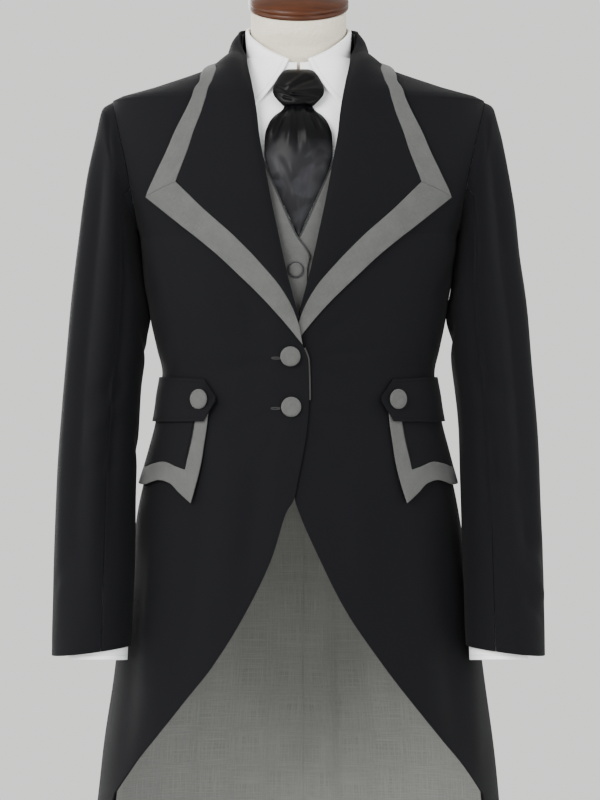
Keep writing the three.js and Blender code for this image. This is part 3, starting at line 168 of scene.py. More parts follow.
class Round:
    """A round surface: at each height a superellipse with its own half width, depths and centre."""

    def __init__(self, table, ring=None):
        self.table, self.ring = table, ring

    def depth(self, z, ahead):
        return np.where(ahead, column(self.table, 2, z), column(self.table, 3, z))

    def width(self, z, ahead):
        side = column(self.table, 1, z)
        if self.ring is None:
            return side
        y = ring_depth(self.ring, z)
        t = (z - self.ring["z"]) / self.ring["half"]
        straight = mixed(COAT_RING_X["low"], COAT_RING_X["top"], (t + 1) / 2)
        x = straight - COAT_RING_X["hollow"] * np.clip(1 - t * t, 0, 1)
        part = np.power(y / self.depth(z, ahead), SQUARENESS)
        return np.where(y > 0, x / np.power(1 - part, 1 / SQUARENESS), side)

    def bare(self, angle, z):
        """The point of the superellipse in the direction of the angle."""
        angle, z = np.broadcast_arrays(np.asarray(angle, float), np.asarray(z, float))
        c, s = np.cos(np.radians(angle)), np.sin(np.radians(angle))
        ahead = s >= 0
        across = np.power(np.abs(c) / self.width(z, ahead), SQUARENESS)
        along = np.power(np.abs(s) / self.depth(z, ahead), SQUARENESS)
        radius = np.power(across + along, -1 / SQUARENESS)
        return np.stack([radius * c, column(self.table, 4, z) - radius * s, z], -1)

    def outward(self, angle, z):
        """The unit normal: the cross product of the steps round and up the surface."""
        point = self.bare(angle, z)
        round_it = self.bare(angle + 0.6, z) - self.bare(angle - 0.6, z)
        up = self.bare(angle, z + 1) - self.bare(angle, z - 1)
        normal = np.cross(round_it, up)
        normal /= np.maximum(np.linalg.norm(normal, axis=-1, keepdims=True), 1e-9)
        out = point.copy()
        out[..., 1] -= column(self.table, 4, z)
        out[..., 2] = 0
        return np.where((normal * out).sum(-1, keepdims=True) < 0, -normal, normal)

    def lifted(self, angle, z, lift):
        angle, z = np.broadcast_arrays(np.asarray(angle, float), np.asarray(z, float))
        return self.bare(angle, z) + self.outward(angle, z) * np.asarray(lift, float)[..., None]

    def front_angle(self, x, z):
        """The angle of a place on the front that lies x from the centre line."""
        part = np.clip(np.power(np.abs(x) / self.width(z, True), SQUARENESS), 0, 1)
        return np.degrees(np.arctan2(self.depth(z, True) * np.power(1 - part, 1 / SQUARENESS), x))

    def ring_angle(self, ring, z, ahead):
        y = ring_depth(ring, z)
        part = np.power(y / self.depth(z, ahead), SQUARENESS)
        x = self.width(z, ahead) * np.power(1 - part, 1 / SQUARENESS)
        return np.degrees(np.arctan2(y, x)) * (1 if ahead else -1)

    def nudge(self, angle, z, length):
        """The angle moved by a length along the surface."""
        point = self.bare(angle, z)
        return angle + np.degrees(length / np.hypot(point[..., 0], point[..., 1]))


COAT = Round(COAT_TABLE, COAT_RING)
FORM = Round(FORM_TABLE)


# Meshes from grids of points.
def new_object(name, points, faces, uv, material, edge=None):
    """One mesh object from points in millimetres and quads or triangles, shaded smooth."""
    mesh = bpy.data.meshes.new(name)
    mesh.from_pydata([], [], [])
    count, size = faces.shape
    mesh.vertices.add(len(points))
    mesh.vertices.foreach_set("co", (points * MM).astype(np.float32).ravel())
    mesh.loops.add(count * size)
    mesh.loops.foreach_set("vertex_index", faces.astype(np.int32).ravel())
    mesh.polygons.add(count)
    mesh.polygons.foreach_set("loop_start", (np.arange(count) * size).astype(np.int32))
    mesh.polygons.foreach_set("loop_total", np.full(count, size, np.int32))
    layer = mesh.uv_layers.new(name="cloth")
    mesh.update(calc_edges=True)
    layer.data.foreach_set("uv", (uv * MM)[faces.ravel()].astype(np.float32).ravel())
    if edge is not None:
        rim = mesh.attributes.new("rim", "FLOAT", "POINT")
        rim.data.foreach_set("value", (edge * MM).astype(np.float32).ravel())
    mesh.polygons.foreach_set("use_smooth", np.ones(count, bool))
    mesh.materials.append(material)
    mesh.validate()
    mesh.update()
    obj = bpy.data.objects.new(name, mesh)
    bpy.context.scene.collection.objects.link(obj)
    return obj


def grid_faces(rows, columns, closed=False):
    last = columns if closed else columns - 1
    r, c = np.meshgrid(np.arange(rows - 1), np.arange(last), indexing="ij")
    n = (c + 1) % columns
    quad = np.stack([r * columns + c, r * columns + n, (r + 1) * columns + n, (r + 1) * columns + c], -1)
    return quad.reshape(-1, 4)


def lengths(points):
    """Arc lengths across each row from its middle, and down the middle column, as a flat cut."""
    across = np.cumsum(np.linalg.norm(np.diff(points, axis=1), axis=2), axis=1)
    across = np.concatenate([np.zeros((len(points), 1)), across], axis=1)
    middle = points.shape[1] // 2
    u = across - across[:, middle : middle + 1]
    down = np.cumsum(np.linalg.norm(np.diff(points[:, middle], axis=0), axis=1))
    v = -np.concatenate([[0], down])[:, None] * np.ones_like(u)
    left, right = across, across[:, -1:] - across
    top, low = -v, v - v[-1:]
    edge = np.minimum(np.minimum(left, right), np.minimum(top, low))
    return np.stack([u, v], -1), edge


# How round the edge of a cloth is, as a share of its thickness, and from which angle an edge is rounded.
EDGE_SHARE = 0.35
EDGE_ANGLE = 58


def settle(obj, thickness):
    """Gives the sheet its thickness inwards and a softly rounded edge, and hangs it in the frame."""
    if thickness:
        wall = obj.modifiers.new("thickness", "SOLIDIFY")
        wall.thickness = thickness * MM
        wall.offset = -1
        edge = obj.modifiers.new("edge", "BEVEL")
        edge.width = thickness * EDGE_SHARE * MM
        edge.segments = 2
        edge.limit_method = "ANGLE"
        edge.angle_limit = math.radians(EDGE_ANGLE)
    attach(obj, "root")
    return obj


def cloth(name, points, outward, thickness, key):
    """A sheet through a grid of points, its front turned to outward, mapped with the lengths of its flat
    cut.
    It replaces the solid of its own name."""
    rows, columns = points.shape[:2]
    uv, edge = lengths(points)
    faces = grid_faces(rows, columns)
    a, b, d = points[:-1, :-1], points[:-1, 1:], points[1:, :-1]
    facing = (np.cross(b - a, d - a) * outward[:-1, :-1]).sum()
    if facing < 0:
        faces = faces[:, ::-1]
    flat_uv = uv.reshape(-1, 2)
    obj = new_object(name, points.reshape(-1, 3), faces, flat_uv, look(key), edge.reshape(-1))
    settle(obj, thickness)
    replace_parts(obj, name)


def mirrored(points, sign):
    return points * np.array([sign, 1, 1])


def panel(name, shape, sign, angle, z, lift, thickness, key):
    """A sheet on a round surface, lift off it, mirrored to its side."""
    points = mirrored(shape.lifted(angle, z, lift), sign)
    outward = mirrored(shape.outward(angle, z), sign)
    cloth(name, points, outward, thickness, key)


def closed_surface(name, rings, key, cap=True):
    """A closed skin through rings of points with a fan at each end, its faces turned outwards."""
    count = rings.shape[1]
    body = grid_faces(len(rings), count, closed=True)
    triangles = np.concatenate([body[:, [0, 1, 2]], body[:, [0, 2, 3]]])
    points = rings.reshape(-1, 3)
    if cap:
        low, high = rings[0].mean(0), rings[-1].mean(0)
        points = np.concatenate([points, [low, high]])
        i = np.arange(count)
        n = (i + 1) % count
        last = (len(rings) - 1) * count
        low_fan = np.stack([np.full(count, len(points) - 2), n, i], -1)
        high_fan = np.stack([np.full(count, len(points) - 1), last + i, last + n], -1)
        triangles = np.concatenate([triangles, low_fan, high_fan])
    a, b, c = (points[triangles[:, k]] for k in range(3))
    if (a * np.cross(b, c)).sum() < 0:
        triangles = triangles[:, ::-1]
    length = np.cumsum(np.linalg.norm(np.diff(rings[:, 0], axis=0), axis=1))
    v = np.concatenate([[0], length])[:, None] * np.ones((len(rings), count))
    girth = np.linalg.norm(np.roll(rings, -1, 1) - rings, axis=2).sum(1)
    u = np.arange(count)[None] / count * girth[:, None]
    uv = np.stack([u, v], -1).reshape(-1, 2)
    if cap:
        uv = np.concatenate([uv, [[0, 0], [0, v[-1, 0]]]])
    return settle(new_object(name, points, triangles, uv, look(key)), 0)


def turned(name, profile, steps, centre, axis, key, cap=True):
    """A turned piece: the profile (radius, height) goes round an axis through the centre."""
    axis = Vector(axis).normalized()
    across = axis.orthogonal().normalized()
    other = axis.cross(across)
    turn = np.linspace(0, 2 * np.pi, steps, endpoint=False)[None, :, None]
    radius, height = np.asarray(profile, float).T
    radius = np.maximum(radius, 0.02)
    rings = (
        np.array(centre)
        + radius[:, None, None] * (np.cos(turn) * np.array(across) + np.sin(turn) * np.array(other))
        + height[:, None, None] * np.array(axis)
    )
    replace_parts(closed_surface(name, rings, key, cap), name)


def cord_along(name, path, radius, key, closed=False, steps=8, across=None):
    """A round thread along a path: rings square to the path, from its tangent and a fixed direction."""
    path = np.asarray(path, float)
    if closed:
        along = np.roll(path, -1, 0) - np.roll(path, 1, 0)
    else:
        along = np.gradient(path, axis=0)
    along /= np.linalg.norm(along, axis=1, keepdims=True)
    if across is None:
        side = np.cross(along, [0.13, 0.97, 0.21])
        side /= np.linalg.norm(side, axis=1, keepdims=True)
    else:
        side = np.ones((len(path), 1)) * np.array(across, float)
    up = np.cross(side, along)
    turn = np.linspace(0, 2 * np.pi, steps, endpoint=False)[None, :, None]
    rings = path[:, None] + radius * (np.cos(turn) * side[:, None] + np.sin(turn) * up[:, None])
    if closed:
        rings = np.concatenate([rings, rings[:1]])
    return closed_surface(name, rings, key, cap=not closed)


# Shares of a fold's length between which it rises from one end, and sinks to the other.
FOLD_RISE = (-0.08, 0.22)
FOLD_SINK = (0.72, 1.08)
WAVES = 5


def creased(u, v, folds):
    """The sum of soft ridges: each falls off as a bell across its line and fades towards its ends.
    A fold is u0, v0, u1, v1, half width and height; a negative height is a trough."""
    total = np.zeros(np.broadcast(u, v).shape)
    for u0, v0, u1, v1, width, height in folds:
        du, dv = u1 - u0, v1 - v0
        size = math.hypot(du, dv)
        t = ((u - u0) * du + (v - v0) * dv) / size**2
        off = ((u - u0) * dv - (v - v0) * du) / size
        fade = ease(t, *FOLD_RISE) * (1 - ease(t, *FOLD_SINK))
        total = total + height * np.exp(-((off / width) ** 2)) * fade
    return total


def uneven(u, v, seed, size, height):
    """A slow unevenness of hung cloth: five long sine waves in fixed directions."""
    pick = np.random.default_rng(seed)
    total = np.zeros(np.broadcast(u, v).shape)
    for _ in range(WAVES):
        turn, phase = pick.random(2) * 2 * np.pi
        step = size * (0.6 + 0.9 * pick.random())
        total = total + np.sin((u * np.cos(turn) + v * np.sin(turn)) * 2 * np.pi / step + phase)
    return total * height / WAVES


# Materials.
GROUPS = {}
LOOKS = {}
FULL_TURN = 6.2832


def feed(tree, target, inputs):
    """Links each socket among the inputs to the target and sets each plain value."""
    for key, value in inputs.items():
        if isinstance(value, bpy.types.NodeSocket):
            tree.links.new(value, target.inputs[key])
        else:
            target.inputs[key].default_value = value
    return target


def node(tree, kind, inputs=None, **settings):
    made = tree.nodes.new(kind)
    for key, value in settings.items():
        setattr(made, key, value)
    return feed(tree, made, inputs or {})


def maths(tree, operation, a, b=0.0, c=None):
    inputs = {0: a, 1: b}
    if c is not None:
        inputs[2] = c
    return node(tree, "ShaderNodeMath", inputs, operation=operation).outputs[0]


def noise(tree, place, scale, detail, **more):
    inputs = {"Vector": place, "Scale": scale, "Detail": detail, **more}
    return node(tree, "ShaderNodeTexNoise", inputs).outputs[0]


def stretched(tree, place, rates):
    """The place scaled along each axis, so that a noise in it draws out into fibres."""
    return node(tree, "ShaderNodeVectorMath", {0: place, 1: rates}, operation="MULTIPLY").outputs[0]


def ramp(tree, value, start, end, at_start, at_end):
    inputs = {"Value": value, 1: start, 2: end, 3: at_start, 4: at_end}
    return node(tree, "ShaderNodeMapRange", inputs).outputs[0]


def bump(tree, height, strength, distance):
    inputs = {"Height": height, "Strength": strength, "Distance": distance}
    return node(tree, "ShaderNodeBump", inputs).outputs[0]


def group(name, inputs, output):
    """A node group with one number out; an input without a value is a vector."""
    tree = bpy.data.node_groups.new(name, "ShaderNodeTree")
    for socket, value in inputs.items():
        kind = "NodeSocketVector" if value is None else "NodeSocketFloat"
        made = tree.interface.new_socket(name=socket, in_out="INPUT", socket_type=kind)
        if value is not None:
            made.default_value = value
    tree.interface.new_socket(name=output, in_out="OUTPUT", socket_type="NodeSocketFloat")
    return tree, tree.nodes.new("NodeGroupInput").outputs, tree.nodes.new("NodeGroupOutput")


def woven_group():
    """Threads that cross: sine ridges both ways for a plain weave, and along the diagonal for a twill,
    broken up by a fine noise."""
    tree, given, out = group("Woven threads", {"Vector": None, "Pitch": 0.001, "Twill": 0.0}, "Height")
    rate = maths(tree, "DIVIDE", FULL_TURN, given["Pitch"])
    split = node(tree, "ShaderNodeSeparateXYZ", {0: given["Vector"]}).outputs
    u = maths(tree, "MULTIPLY", split[0], rate)
    v = maths(tree, "MULTIPLY", split[1], rate)
    plain = maths(tree, "MULTIPLY", maths(tree, "SINE", u), maths(tree, "SINE", v))
    diagonal = maths(tree, "SINE", maths(tree, "ADD", u, v))
    ribs = node(tree, "ShaderNodeMix", {0: given["Twill"], 2: plain, 3: diagonal}, data_type="FLOAT")
    grain = noise(tree, given["Vector"], 900.0, 2.0, Roughness=0.6)
    feed(tree, out, {"Height": maths(tree, "MULTIPLY_ADD", ribs.outputs[0], 0.5, grain)})
    return tree


def slub_group():
    """Slubs: long thin noise along the warp and along the weft, the stronger one showing."""
    tree, given, out = group("Slubs", {"Vector": None, "Length": 0.03, "Width": 0.0012}, "Mask")
    rates = [maths(tree, "DIVIDE", 1.0, given[size]) for size in ("Length", "Width")]
    masks = []
    for x, y in (rates, rates[::-1]):
        both = node(tree, "ShaderNodeCombineXYZ", {0: x, 1: y}).outputs[0]
        masks.append(noise(tree, stretched(tree, given["Vector"], both), 1.0, 3.0))
    feed(tree, out, {"Mask": maths(tree, "MAXIMUM", *masks)})
    return tree


def nap_group():
    """A soft cloudiness: two scales of noise added."""
    tree, given, out = group("Nap", {"Vector": None, "Scale": 14.0}, "Value")
    wide = noise(tree, given["Vector"], given["Scale"], 3.0)
    fine = noise(tree, given["Vector"], 260.0, 2.0)
    feed(tree, out, {"Value": maths(tree, "MULTIPLY_ADD", fine, 0.35, wide)})
    return tree


def stitch_group():
    """A row of stitches: 1 where the distance from the rim is near the row's, broken into dashes."""
    sizes = {"Rim": 0.0, "Vector": None, "Inset": 0.003, "Length": 0.003}
    tree, given, out = group("Stitches", sizes, "Mask")
    off = maths(tree, "ABSOLUTE", maths(tree, "SUBTRACT", given["Rim"], given["Inset"]))
    row = ramp(tree, off, 0.0002, 0.0007, 1.0, 0.0)
    split = node(tree, "ShaderNodeSeparateXYZ", {0: given["Vector"]}).outputs
    along_row = maths(tree, "ADD", split[0], split[1])
    rate = maths(tree, "DIVIDE", FULL_TURN, given["Length"])
    wave = maths(tree, "SINE", maths(tree, "MULTIPLY", along_row, rate))
    feed(tree, out, {"Mask": maths(tree, "MULTIPLY", row, maths(tree, "GREATER_THAN", wave, -0.45))})
    return tree


def placed_group(tree, key, inputs):
    if not GROUPS:
        GROUPS.update(woven=woven_group(), slubs=slub_group(), nap=nap_group(), stitches=stitch_group())
    return node(tree, "ShaderNodeGroup", inputs, node_tree=GROUPS[key]).outputs[0]


def material(name):
    made = bpy.data.materials.new(name)
    made.use_nodes = True
    tree = made.node_tree
    return made, tree, tree.nodes["Principled BSDF"]


def mixed_colour(tree, factor, low, high):
    """Runs from low, a colour or a socket, to the colour high."""
    if not isinstance(low, bpy.types.NodeSocket):
        low = (*low, 1)
    inputs = {0: factor, 6: low, 7: (*high, 1)}
    return node(tree, "ShaderNodeMix", inputs, data_type="RGBA").outputs[2]


def object_place(tree):
    return node(tree, "ShaderNodeTexCoord").outputs["Object"]


def cloth_place(tree):
    return node(tree, "ShaderNodeUVMap", uv_map="cloth").outputs[0]


def tinted(colour):
    """A colour as given, or a share of one of the suit's own colours."""
    if len(colour) == 3:
        return colour
    name, share = colour
    return tuple(min(1.0, v * share) for v in getattr(bpy.context.scene.suit_colours, name))


def cloth_material(
    name,
    low,
    high,
    pitch,
    sheen,
    twill=1.0,
    slub=0.0,
    slub_size=(0.0, 0.0),
    contrast=1.0,
    rough=0.85,
    depth=0.00025,
    stitch=None,
    nap_scale=14.0,
    specular=0.3,
):
    """Cloth: its colour runs between low and high with nap, weave and slubs, the threads give the bump."""
    made, tree, shader = material(name)
    flat = cloth_place(tree)
    woven = placed_group(tree, "woven", {"Vector": flat, "Pitch": pitch, "Twill": twill})
    nap = placed_group(tree, "nap", {"Vector": flat, "Scale": nap_scale})
    tone = maths(tree, "MULTIPLY_ADD", nap, 0.9 * contrast, 0.5 - 0.6 * contrast)
    tone = maths(tree, "MULTIPLY_ADD", maths(tree, "SUBTRACT", woven, 0.5), 0.3 * contrast, tone)
    height = woven
    if slub:
        length, width = slub_size
        streaks = placed_group(tree, "slubs", {"Vector": flat, "Length": length, "Width": width})
        tone = maths(tree, "MULTIPLY_ADD", maths(tree, "SUBTRACT", streaks, 0.56), slub, tone)
        height = maths(tree, "MULTIPLY_ADD", streaks, 1.5, height)
    colour = mixed_colour(tree, node(tree, "ShaderNodeClamp", {0: tone}).outputs[0], low, high)
    if stitch:
        inset, length, thread = stitch
        rim = node(tree, "ShaderNodeAttribute", attribute_name="rim").outputs["Fac"]
        sizes = {"Rim": rim, "Vector": flat, "Inset": inset, "Length": length}
        row = placed_group(tree, "stitches", sizes)
        colour = mixed_colour(tree, row, colour, tinted(thread))
        height = maths(tree, "MULTIPLY_ADD", row, -2.0, height)
    finish = {
        "Base Color": colour,
        "Roughness": maths(tree, "MULTIPLY_ADD", nap, 0.12, rough - 0.08),
        "Normal": bump(tree, height, 0.6, depth),
        "Sheen Weight": sheen,
        "Sheen Roughness": 0.45,
        "Sheen Tint": (1, 1, 1, 1),
        "Specular IOR Level": specular,
    }
    feed(tree, shader, finish)
    return made


def satin_material():
    """Satin: a smooth black face, with charcoal swirls of painted sheen in the lower tail that stand in for
    its reflections, and a fine warp line in its bump.
    """
    made, tree, shader = material("black satin")
    place = object_place(tree)
    # Painted sheen: charcoal swirls in the colour of the tail below 1.4 m stand in for the satin's
    # reflections.
    sheen_swirl = noise(tree, place, 24.0, 1.5, Distortion=1.8)
    height = node(tree, "ShaderNodeSeparateXYZ", {0: place}).outputs[2]
    lower = ramp(tree, height, 1.4, 1.378, 0.0, 1.0)
    sheen_patch = ramp(tree, sheen_swirl, 0.42, 0.56, 0.0, 1.0)
    factor = maths(tree, "MULTIPLY", lower, maths(tree, "MULTIPLY_ADD", sheen_patch, 0.5, 0.5))
    threads = noise(tree, stretched(tree, cloth_place(tree), (2600.0, 90.0, 1.0)), 1.0, 1.0)
    finish = {
        "Base Color": mixed_colour(tree, factor, (0.002, 0.002, 0.0025), (0.02, 0.02, 0.023)),
        "Roughness": maths(tree, "MULTIPLY_ADD", threads, 0.12, 0.3),
        "Normal": bump(tree, threads, 0.25, 0.0001),
        "Specular IOR Level": 0.09,
        "Anisotropic": 0.35,
    }
    feed(tree, shader, finish)
    return made


def wood_material():
    """Turned wood: long fibres round the axis in two browns, waxed."""
    made, tree, shader = material("dark turned wood")
    place = object_place(tree)
    fibre = noise(tree, stretched(tree, place, (28.0, 60.0, 420.0)), 1.0, 5.0, Distortion=0.8)
    cloud = noise(tree, place, 22.0, 2.0)
    factor = maths(tree, "MULTIPLY_ADD", cloud, 0.5, maths(tree, "SUBTRACT", fibre, 0.25))
    finish = {
        "Base Color": mixed_colour(tree, factor, (0.014, 0.0034, 0.0008), (0.075, 0.019, 0.0038)),
        "Roughness": maths(tree, "MULTIPLY_ADD", fibre, 0.2, 0.28),
        "Normal": bump(tree, fibre, 0.3, 0.0003),
        "Specular IOR Level": 0.22,
    }
    feed(tree, shader, finish)
    return made


def steel_material():
    """Satin steel: brushed lines in the roughness and the bump."""
    made, tree, shader = material("satin steel")
    lines = noise(tree, stretched(tree, object_place(tree), (900.0, 900.0, 12.0)), 1.0, 2.0)
    finish = {
        "Base Color": mixed_colour(tree, lines, (0.36, 0.36, 0.38), (0.52, 0.52, 0.54)),
        "Roughness": maths(tree, "MULTIPLY_ADD", lines, 0.15, 0.3),
        "Normal": bump(tree, lines, 0.15, 0.0001),
        "Metallic": 1.0,
    }
    feed(tree, shader, finish)
    return made


# Weaves: thread pitch, bump depth and slub length and width in metres; a stitched row is its
# distance from the rim, the length of a stitch and its colour.
TWILL = {"pitch": 0.0012, "sheen": 0.022, "depth": 0.0002, "specular": 0.12}
WOOL = {"pitch": 0.0016, "twill": 0.5, "slub": 1.2, "slub_size": (0.009, 0.0011), "sheen": 0.12}
SLUB_LINING = {"pitch": 0.0013, "twill": 0.0, "slub": 1.3, "slub_size": (0.045, 0.0009), "sheen": 0.08}
LINEN = {"pitch": 0.0011, "twill": 0.0, "slub": 1.6, "slub_size": (0.02, 0.0012), "sheen": 0.1}
POPLIN = {"pitch": 0.0006, "twill": 0.0, "contrast": 0.5, "rough": 0.7, "sheen": 0.1, "depth": 0.0001}
TWILL_TONES = (("coat", 0.7), ("coat", 1.35))
POPLIN_TONES = ((0.9, 0.91, 0.93), (0.97, 0.97, 0.98))
TAB_STITCH = (0.004, 0.003, ("coat", 0.3))
POPLIN_STITCH = (0.0055, 0.0022, (0.62, 0.63, 0.66))
# Name, two tones, weave.
CLOTH_LOOKS = {
    "coat": ("black wool twill", TWILL_TONES, TWILL),
    "tab": ("black wool twill, stitched", TWILL_TONES, {**TWILL, "stitch": TAB_STITCH}),
    "grey": ("grey wool", (("trim", 0.72), ("trim", 1.28)), {**WOOL, "depth": 0.0004, "nap_scale": 40.0}),
    # The edging is the trim's own grey darkened to 0.3 to 0.55 of it: painted shade on the front's edge.
    "edging": (
        "grey edging",
        (("trim", 0.3), ("trim", 0.55)),
        {"pitch": 0.0008, "rough": 0.9, "sheen": 0.05},
    ),
    "lining": (
        "grey slub lining",
        (("lining", 0.6), ("lining", 1.45)),
        {**SLUB_LINING, "contrast": 0.7, "rough": 0.75, "depth": 0.0003, "nap_scale": 5.0},
    ),
    "poplin": ("white poplin", POPLIN_TONES, POPLIN),
    "poplin stitched": ("white poplin, stitched", POPLIN_TONES, {**POPLIN, "stitch": POPLIN_STITCH}),
    "linen": ("natural linen", ((0.55, 0.49, 0.38), (0.8, 0.75, 0.64)), {**LINEN, "depth": 0.0003}),
    "thread": (
        "black silk thread",
        ((0.006, 0.006, 0.007), (0.02, 0.02, 0.022)),
        {"pitch": 0.0007, "rough": 0.6, "sheen": 0.1},
    ),
    "piping": (
        "dark piping",
        ((0.012, 0.012, 0.013), (0.03, 0.03, 0.032)),
        {"pitch": 0.0008, "rough": 0.7, "sheen": 0.1},
    ),
}
OTHER_LOOKS = {"satin": satin_material, "wood": wood_material, "steel": steel_material}


def look(key):
    """The finish of one kind of cloth or part, made the first time it is asked for."""
    if key in LOOKS:
        return LOOKS[key]
    if key in OTHER_LOOKS:
        LOOKS[key] = OTHER_LOOKS[key]()
    else:
        name, (low, high), weave = CLOTH_LOOKS[key]
        LOOKS[key] = cloth_material(name, tinted(low), tinted(high), **weave)
    return LOOKS[key]


# Coat body.
# z, over, under: x of the front edge of the front that laps over and of the one under it.
FRONT_EDGE = (
    (1502, 65.5, 65.5),
    (1485, 61.5, 61.5),
    (1463, 56.5, 56.5),
    (1430, 50.5, 50.5),
    (1397, 46.5, 46.5),
    (1365, 40.5, 40.5),
    (1328, 33.5, 33.5),
    (1251, 17, 17),
    (1212, 6.5, 6.5),
    (1185, -1, -1),
    (1163, -5.1, -5.1),
    (1145, -10.8, -10.8),
    (1100, -12, -12),
    (1066, -9.7, -11),
    (1031, -4, -9),
    (1009, 0.6, -7),
    (986, 5.1, -4),
    (972, 13.5, 0.5),
    (921, 30, 23),
    (860, 59, 54),
    (795, 99, 99),
    (757, 129, 128),
    (711, 165, 165),
    (685, 186, 186),
    (640, 216, 216),
)
# z, angle: the cutaway's edge round the side to the tail's rounded corner.
TAIL_EDGE = ((640, 24), (600, 11), (560, -3), (530, -14), (500, -26), (482, -34), (470, -42))
TAIL_EDGE_FROM = 640
EDGE_BLEND = 30
# z, side seam, side-back seam.
SEAMS = (
    (1345, 0, -17.4),
    (1290, 0, -33),
    (1230, -7, -43),
    (1150, -10, -50),
    (1000, -10, -50),
    (800, -10, -48),
    (470, -10, -47),
)
SIDE_BACK_TOP = 1345
# z, half the opening of the centre back vent where the rod passes.
VENT = ((1045, 0), (1028, 13), (998, 13), (982, 0))
COAT_TOP_Z = 1502
COAT_HEM_Z = 470
FRONT_LOW_Z = 541
# z, lift of the front that laps over, full up to x 18 and gone by x 60.
LAP = ((1310, 0), (1215, 5.2), (1170, 5.6), (1125, 3.2), (960, 3))
LAP_X = (18, 60)
DARTS = {"left": (143, 1259, 120, 1180), "right": (147.5, 1279, 121, 1202)}
# half width, height of a dart's groove and of the swell of cloth beside it
DART_SHAPES = ((1.8, -1.1), (9, 0.8))
STEP = 5.0

# x, z to x, z, half width, height: pulls from the buttons and soft folds of each front.
FRONT_FOLDS = {
    "left": (
        (24, 1156, 98, 1186, 7, -1.3),
        (26, 1146, 92, 1134, 6, -1.0),
        (34, 1176, 74, 1222, 8, -0.9),
        (24, 1086, 80, 1062, 7, -1.1),
        (20, 1078, 52, 1010, 8, -1.0),
        (74, 1040, 92, 850, 18, 2.4),
        (44, 1020, 62, 900, 13, -1.6),
        (112, 990, 132, 770, 15, -2.4),
        (158, 985, 170, 700, 16, 2.6),
        (186, 950, 204, 660, 12, -2.2),
        (172, 1298, 178, 1214, 11, 1.6),
        (181, 1284, 158, 1212, 8, -1.5),
        (152, 1190, 158, 1130, 9, -1.2),
        (112, 1250, 96, 1196, 9, 0.9),
    ),
    "right": (
        (18, 1164, 70, 1206, 7, -1.4),
        (22, 1150, 104, 1160, 6, -1.2),
        (22, 1140, 86, 1112, 7, -1.1),
        (20, 1088, 84, 1078, 6, -0.9),
        (18, 1076, 66, 1008, 9, -1.3),
        (60, 1030, 78, 870, 15, 2.0),
        (92, 1010, 112, 800, 14, -2.2),
        (132, 1000, 148, 740, 15, 2.5),
        (168, 960, 184, 690, 13, -2.9),
        (196, 900, 210, 650, 10, 1.8),
        (170, 1290, 172, 1220, 10, 1.5),
        (182, 1270, 150, 1206, 8, -1.7),
        (156, 1184, 150, 1128, 8, -1.3),
        (98, 1262, 88, 1204, 9, -0.8),
    ),
}
# The same for sides and back, across in millimetres round the coat, 2 to a degree, from angle 0.
BACK_FOLDS = {
    "left": (
        (-118, 1046, -124, 380, 17, 3.0),
        (-152, 1000, -158, 380, 15, -2.8),
        (-64, 1040, -56, 380, 15, 2.6),
        (-34, 1000, -26, 420, 13, -2.4),
        (-86, 1020, -92, 430, 12, -1.8),
        (-52, 1372, -118, 1262, 12, -2.2),
        (-60, 1330, -134, 1214, 10, -1.6),
        (-150, 1440, -112, 1400, 13, 1.4),
        (-104, 1140, -166, 1122, 7, -1.5),
        (-112, 1112, -168, 1100, 6, 1.1),
        (-12, 1270, -30, 1180, 9, -1.4),
    ),
    "right": (
        (-112, 1040, -120, 380, 16, 3.2),
        (-148, 1010, -150, 380, 16, -3.0),
        (-70, 1030, -64, 380, 14, 2.2),
        (-30, 1010, -34, 420, 14, -2.6),
        (-92, 990, -84, 430, 11, -1.6),
        (-48, 1380, -110, 1276, 13, -2.0),
        (-66, 1322, -140, 1206, 9, -1.8),
        (-144, 1452, -104, 1408, 12, 1.3),
        (-100, 1146, -160, 1130, 7, -1.3),
        (-118, 1118, -172, 1104, 6, -1.2),
        (-10, 1262, -34, 1188, 8, -1.5),
    ),
}


def front_edge(layer, z):
    """The angle of a front's free edge at a height."""
    ahead = COAT.front_angle(column(FRONT_EDGE, 1 if layer == "over" else 2, z), z)
    tail = column(TAIL_EDGE, 1, z)
    return mixed(tail, ahead, ease(z, TAIL_EDGE_FROM - EDGE_BLEND, TAIL_EDGE_FROM))


def arm_or(z, ahead, below):
    """The armhole's edge where the height crosses it, 0 above it and the seam below it."""
    top = COAT_RING["z"] + COAT_RING["half"]
    low = COAT_RING["z"] - COAT_RING["half"]
    return np.where(z >= top, 0, np.where(z > low, COAT.ring_angle(COAT_RING, z, ahead), below))


def front_outer(z):
    return arm_or(z, True, column(SEAMS, 1, z))


def back_outer(z):
    seam = column(SEAMS, 2, z)
    return np.where(z > SIDE_BACK_TOP, arm_or(z, False, seam), seam)


def side_outer(z):
    return arm_or(z, False, np.minimum(column(SEAMS, 1, z), column(TAIL_EDGE, 1, z)))


def centre_back(z):
    return COAT.nudge(-90.0, z, column(VENT, 1, z))


# From the armhole's edge outwards, in shares of its size, the folds grow to their full height.
ARM_QUIET = (1.01, 1.18)


def off_arm(point):
    """0 at the armhole's edge and 1 clear of it."""
    up = (point[..., 2] - COAT_RING["z"]) / COAT_RING["half"]
    round_arm = np.hypot(up, point[..., 1] / COAT_RING["depth"])
    return ease(round_arm, *ARM_QUIET)


# In the tables of folds round the coat, one degree counts as this many millimetres.
DEGREE = 2.0
# Angles and x between which the folds change from the back's to the front's, and rise from the edges.
FOLDS_AHEAD = (-6, 10)
FRONT_QUIET = (4, 22)
BACK_QUIET = (-90, -84)
SHOULDER_QUIET = (1420, 1475)
HANG = {"folds": 1.3, "seed": 3, "size": 150, "height": 1.1}


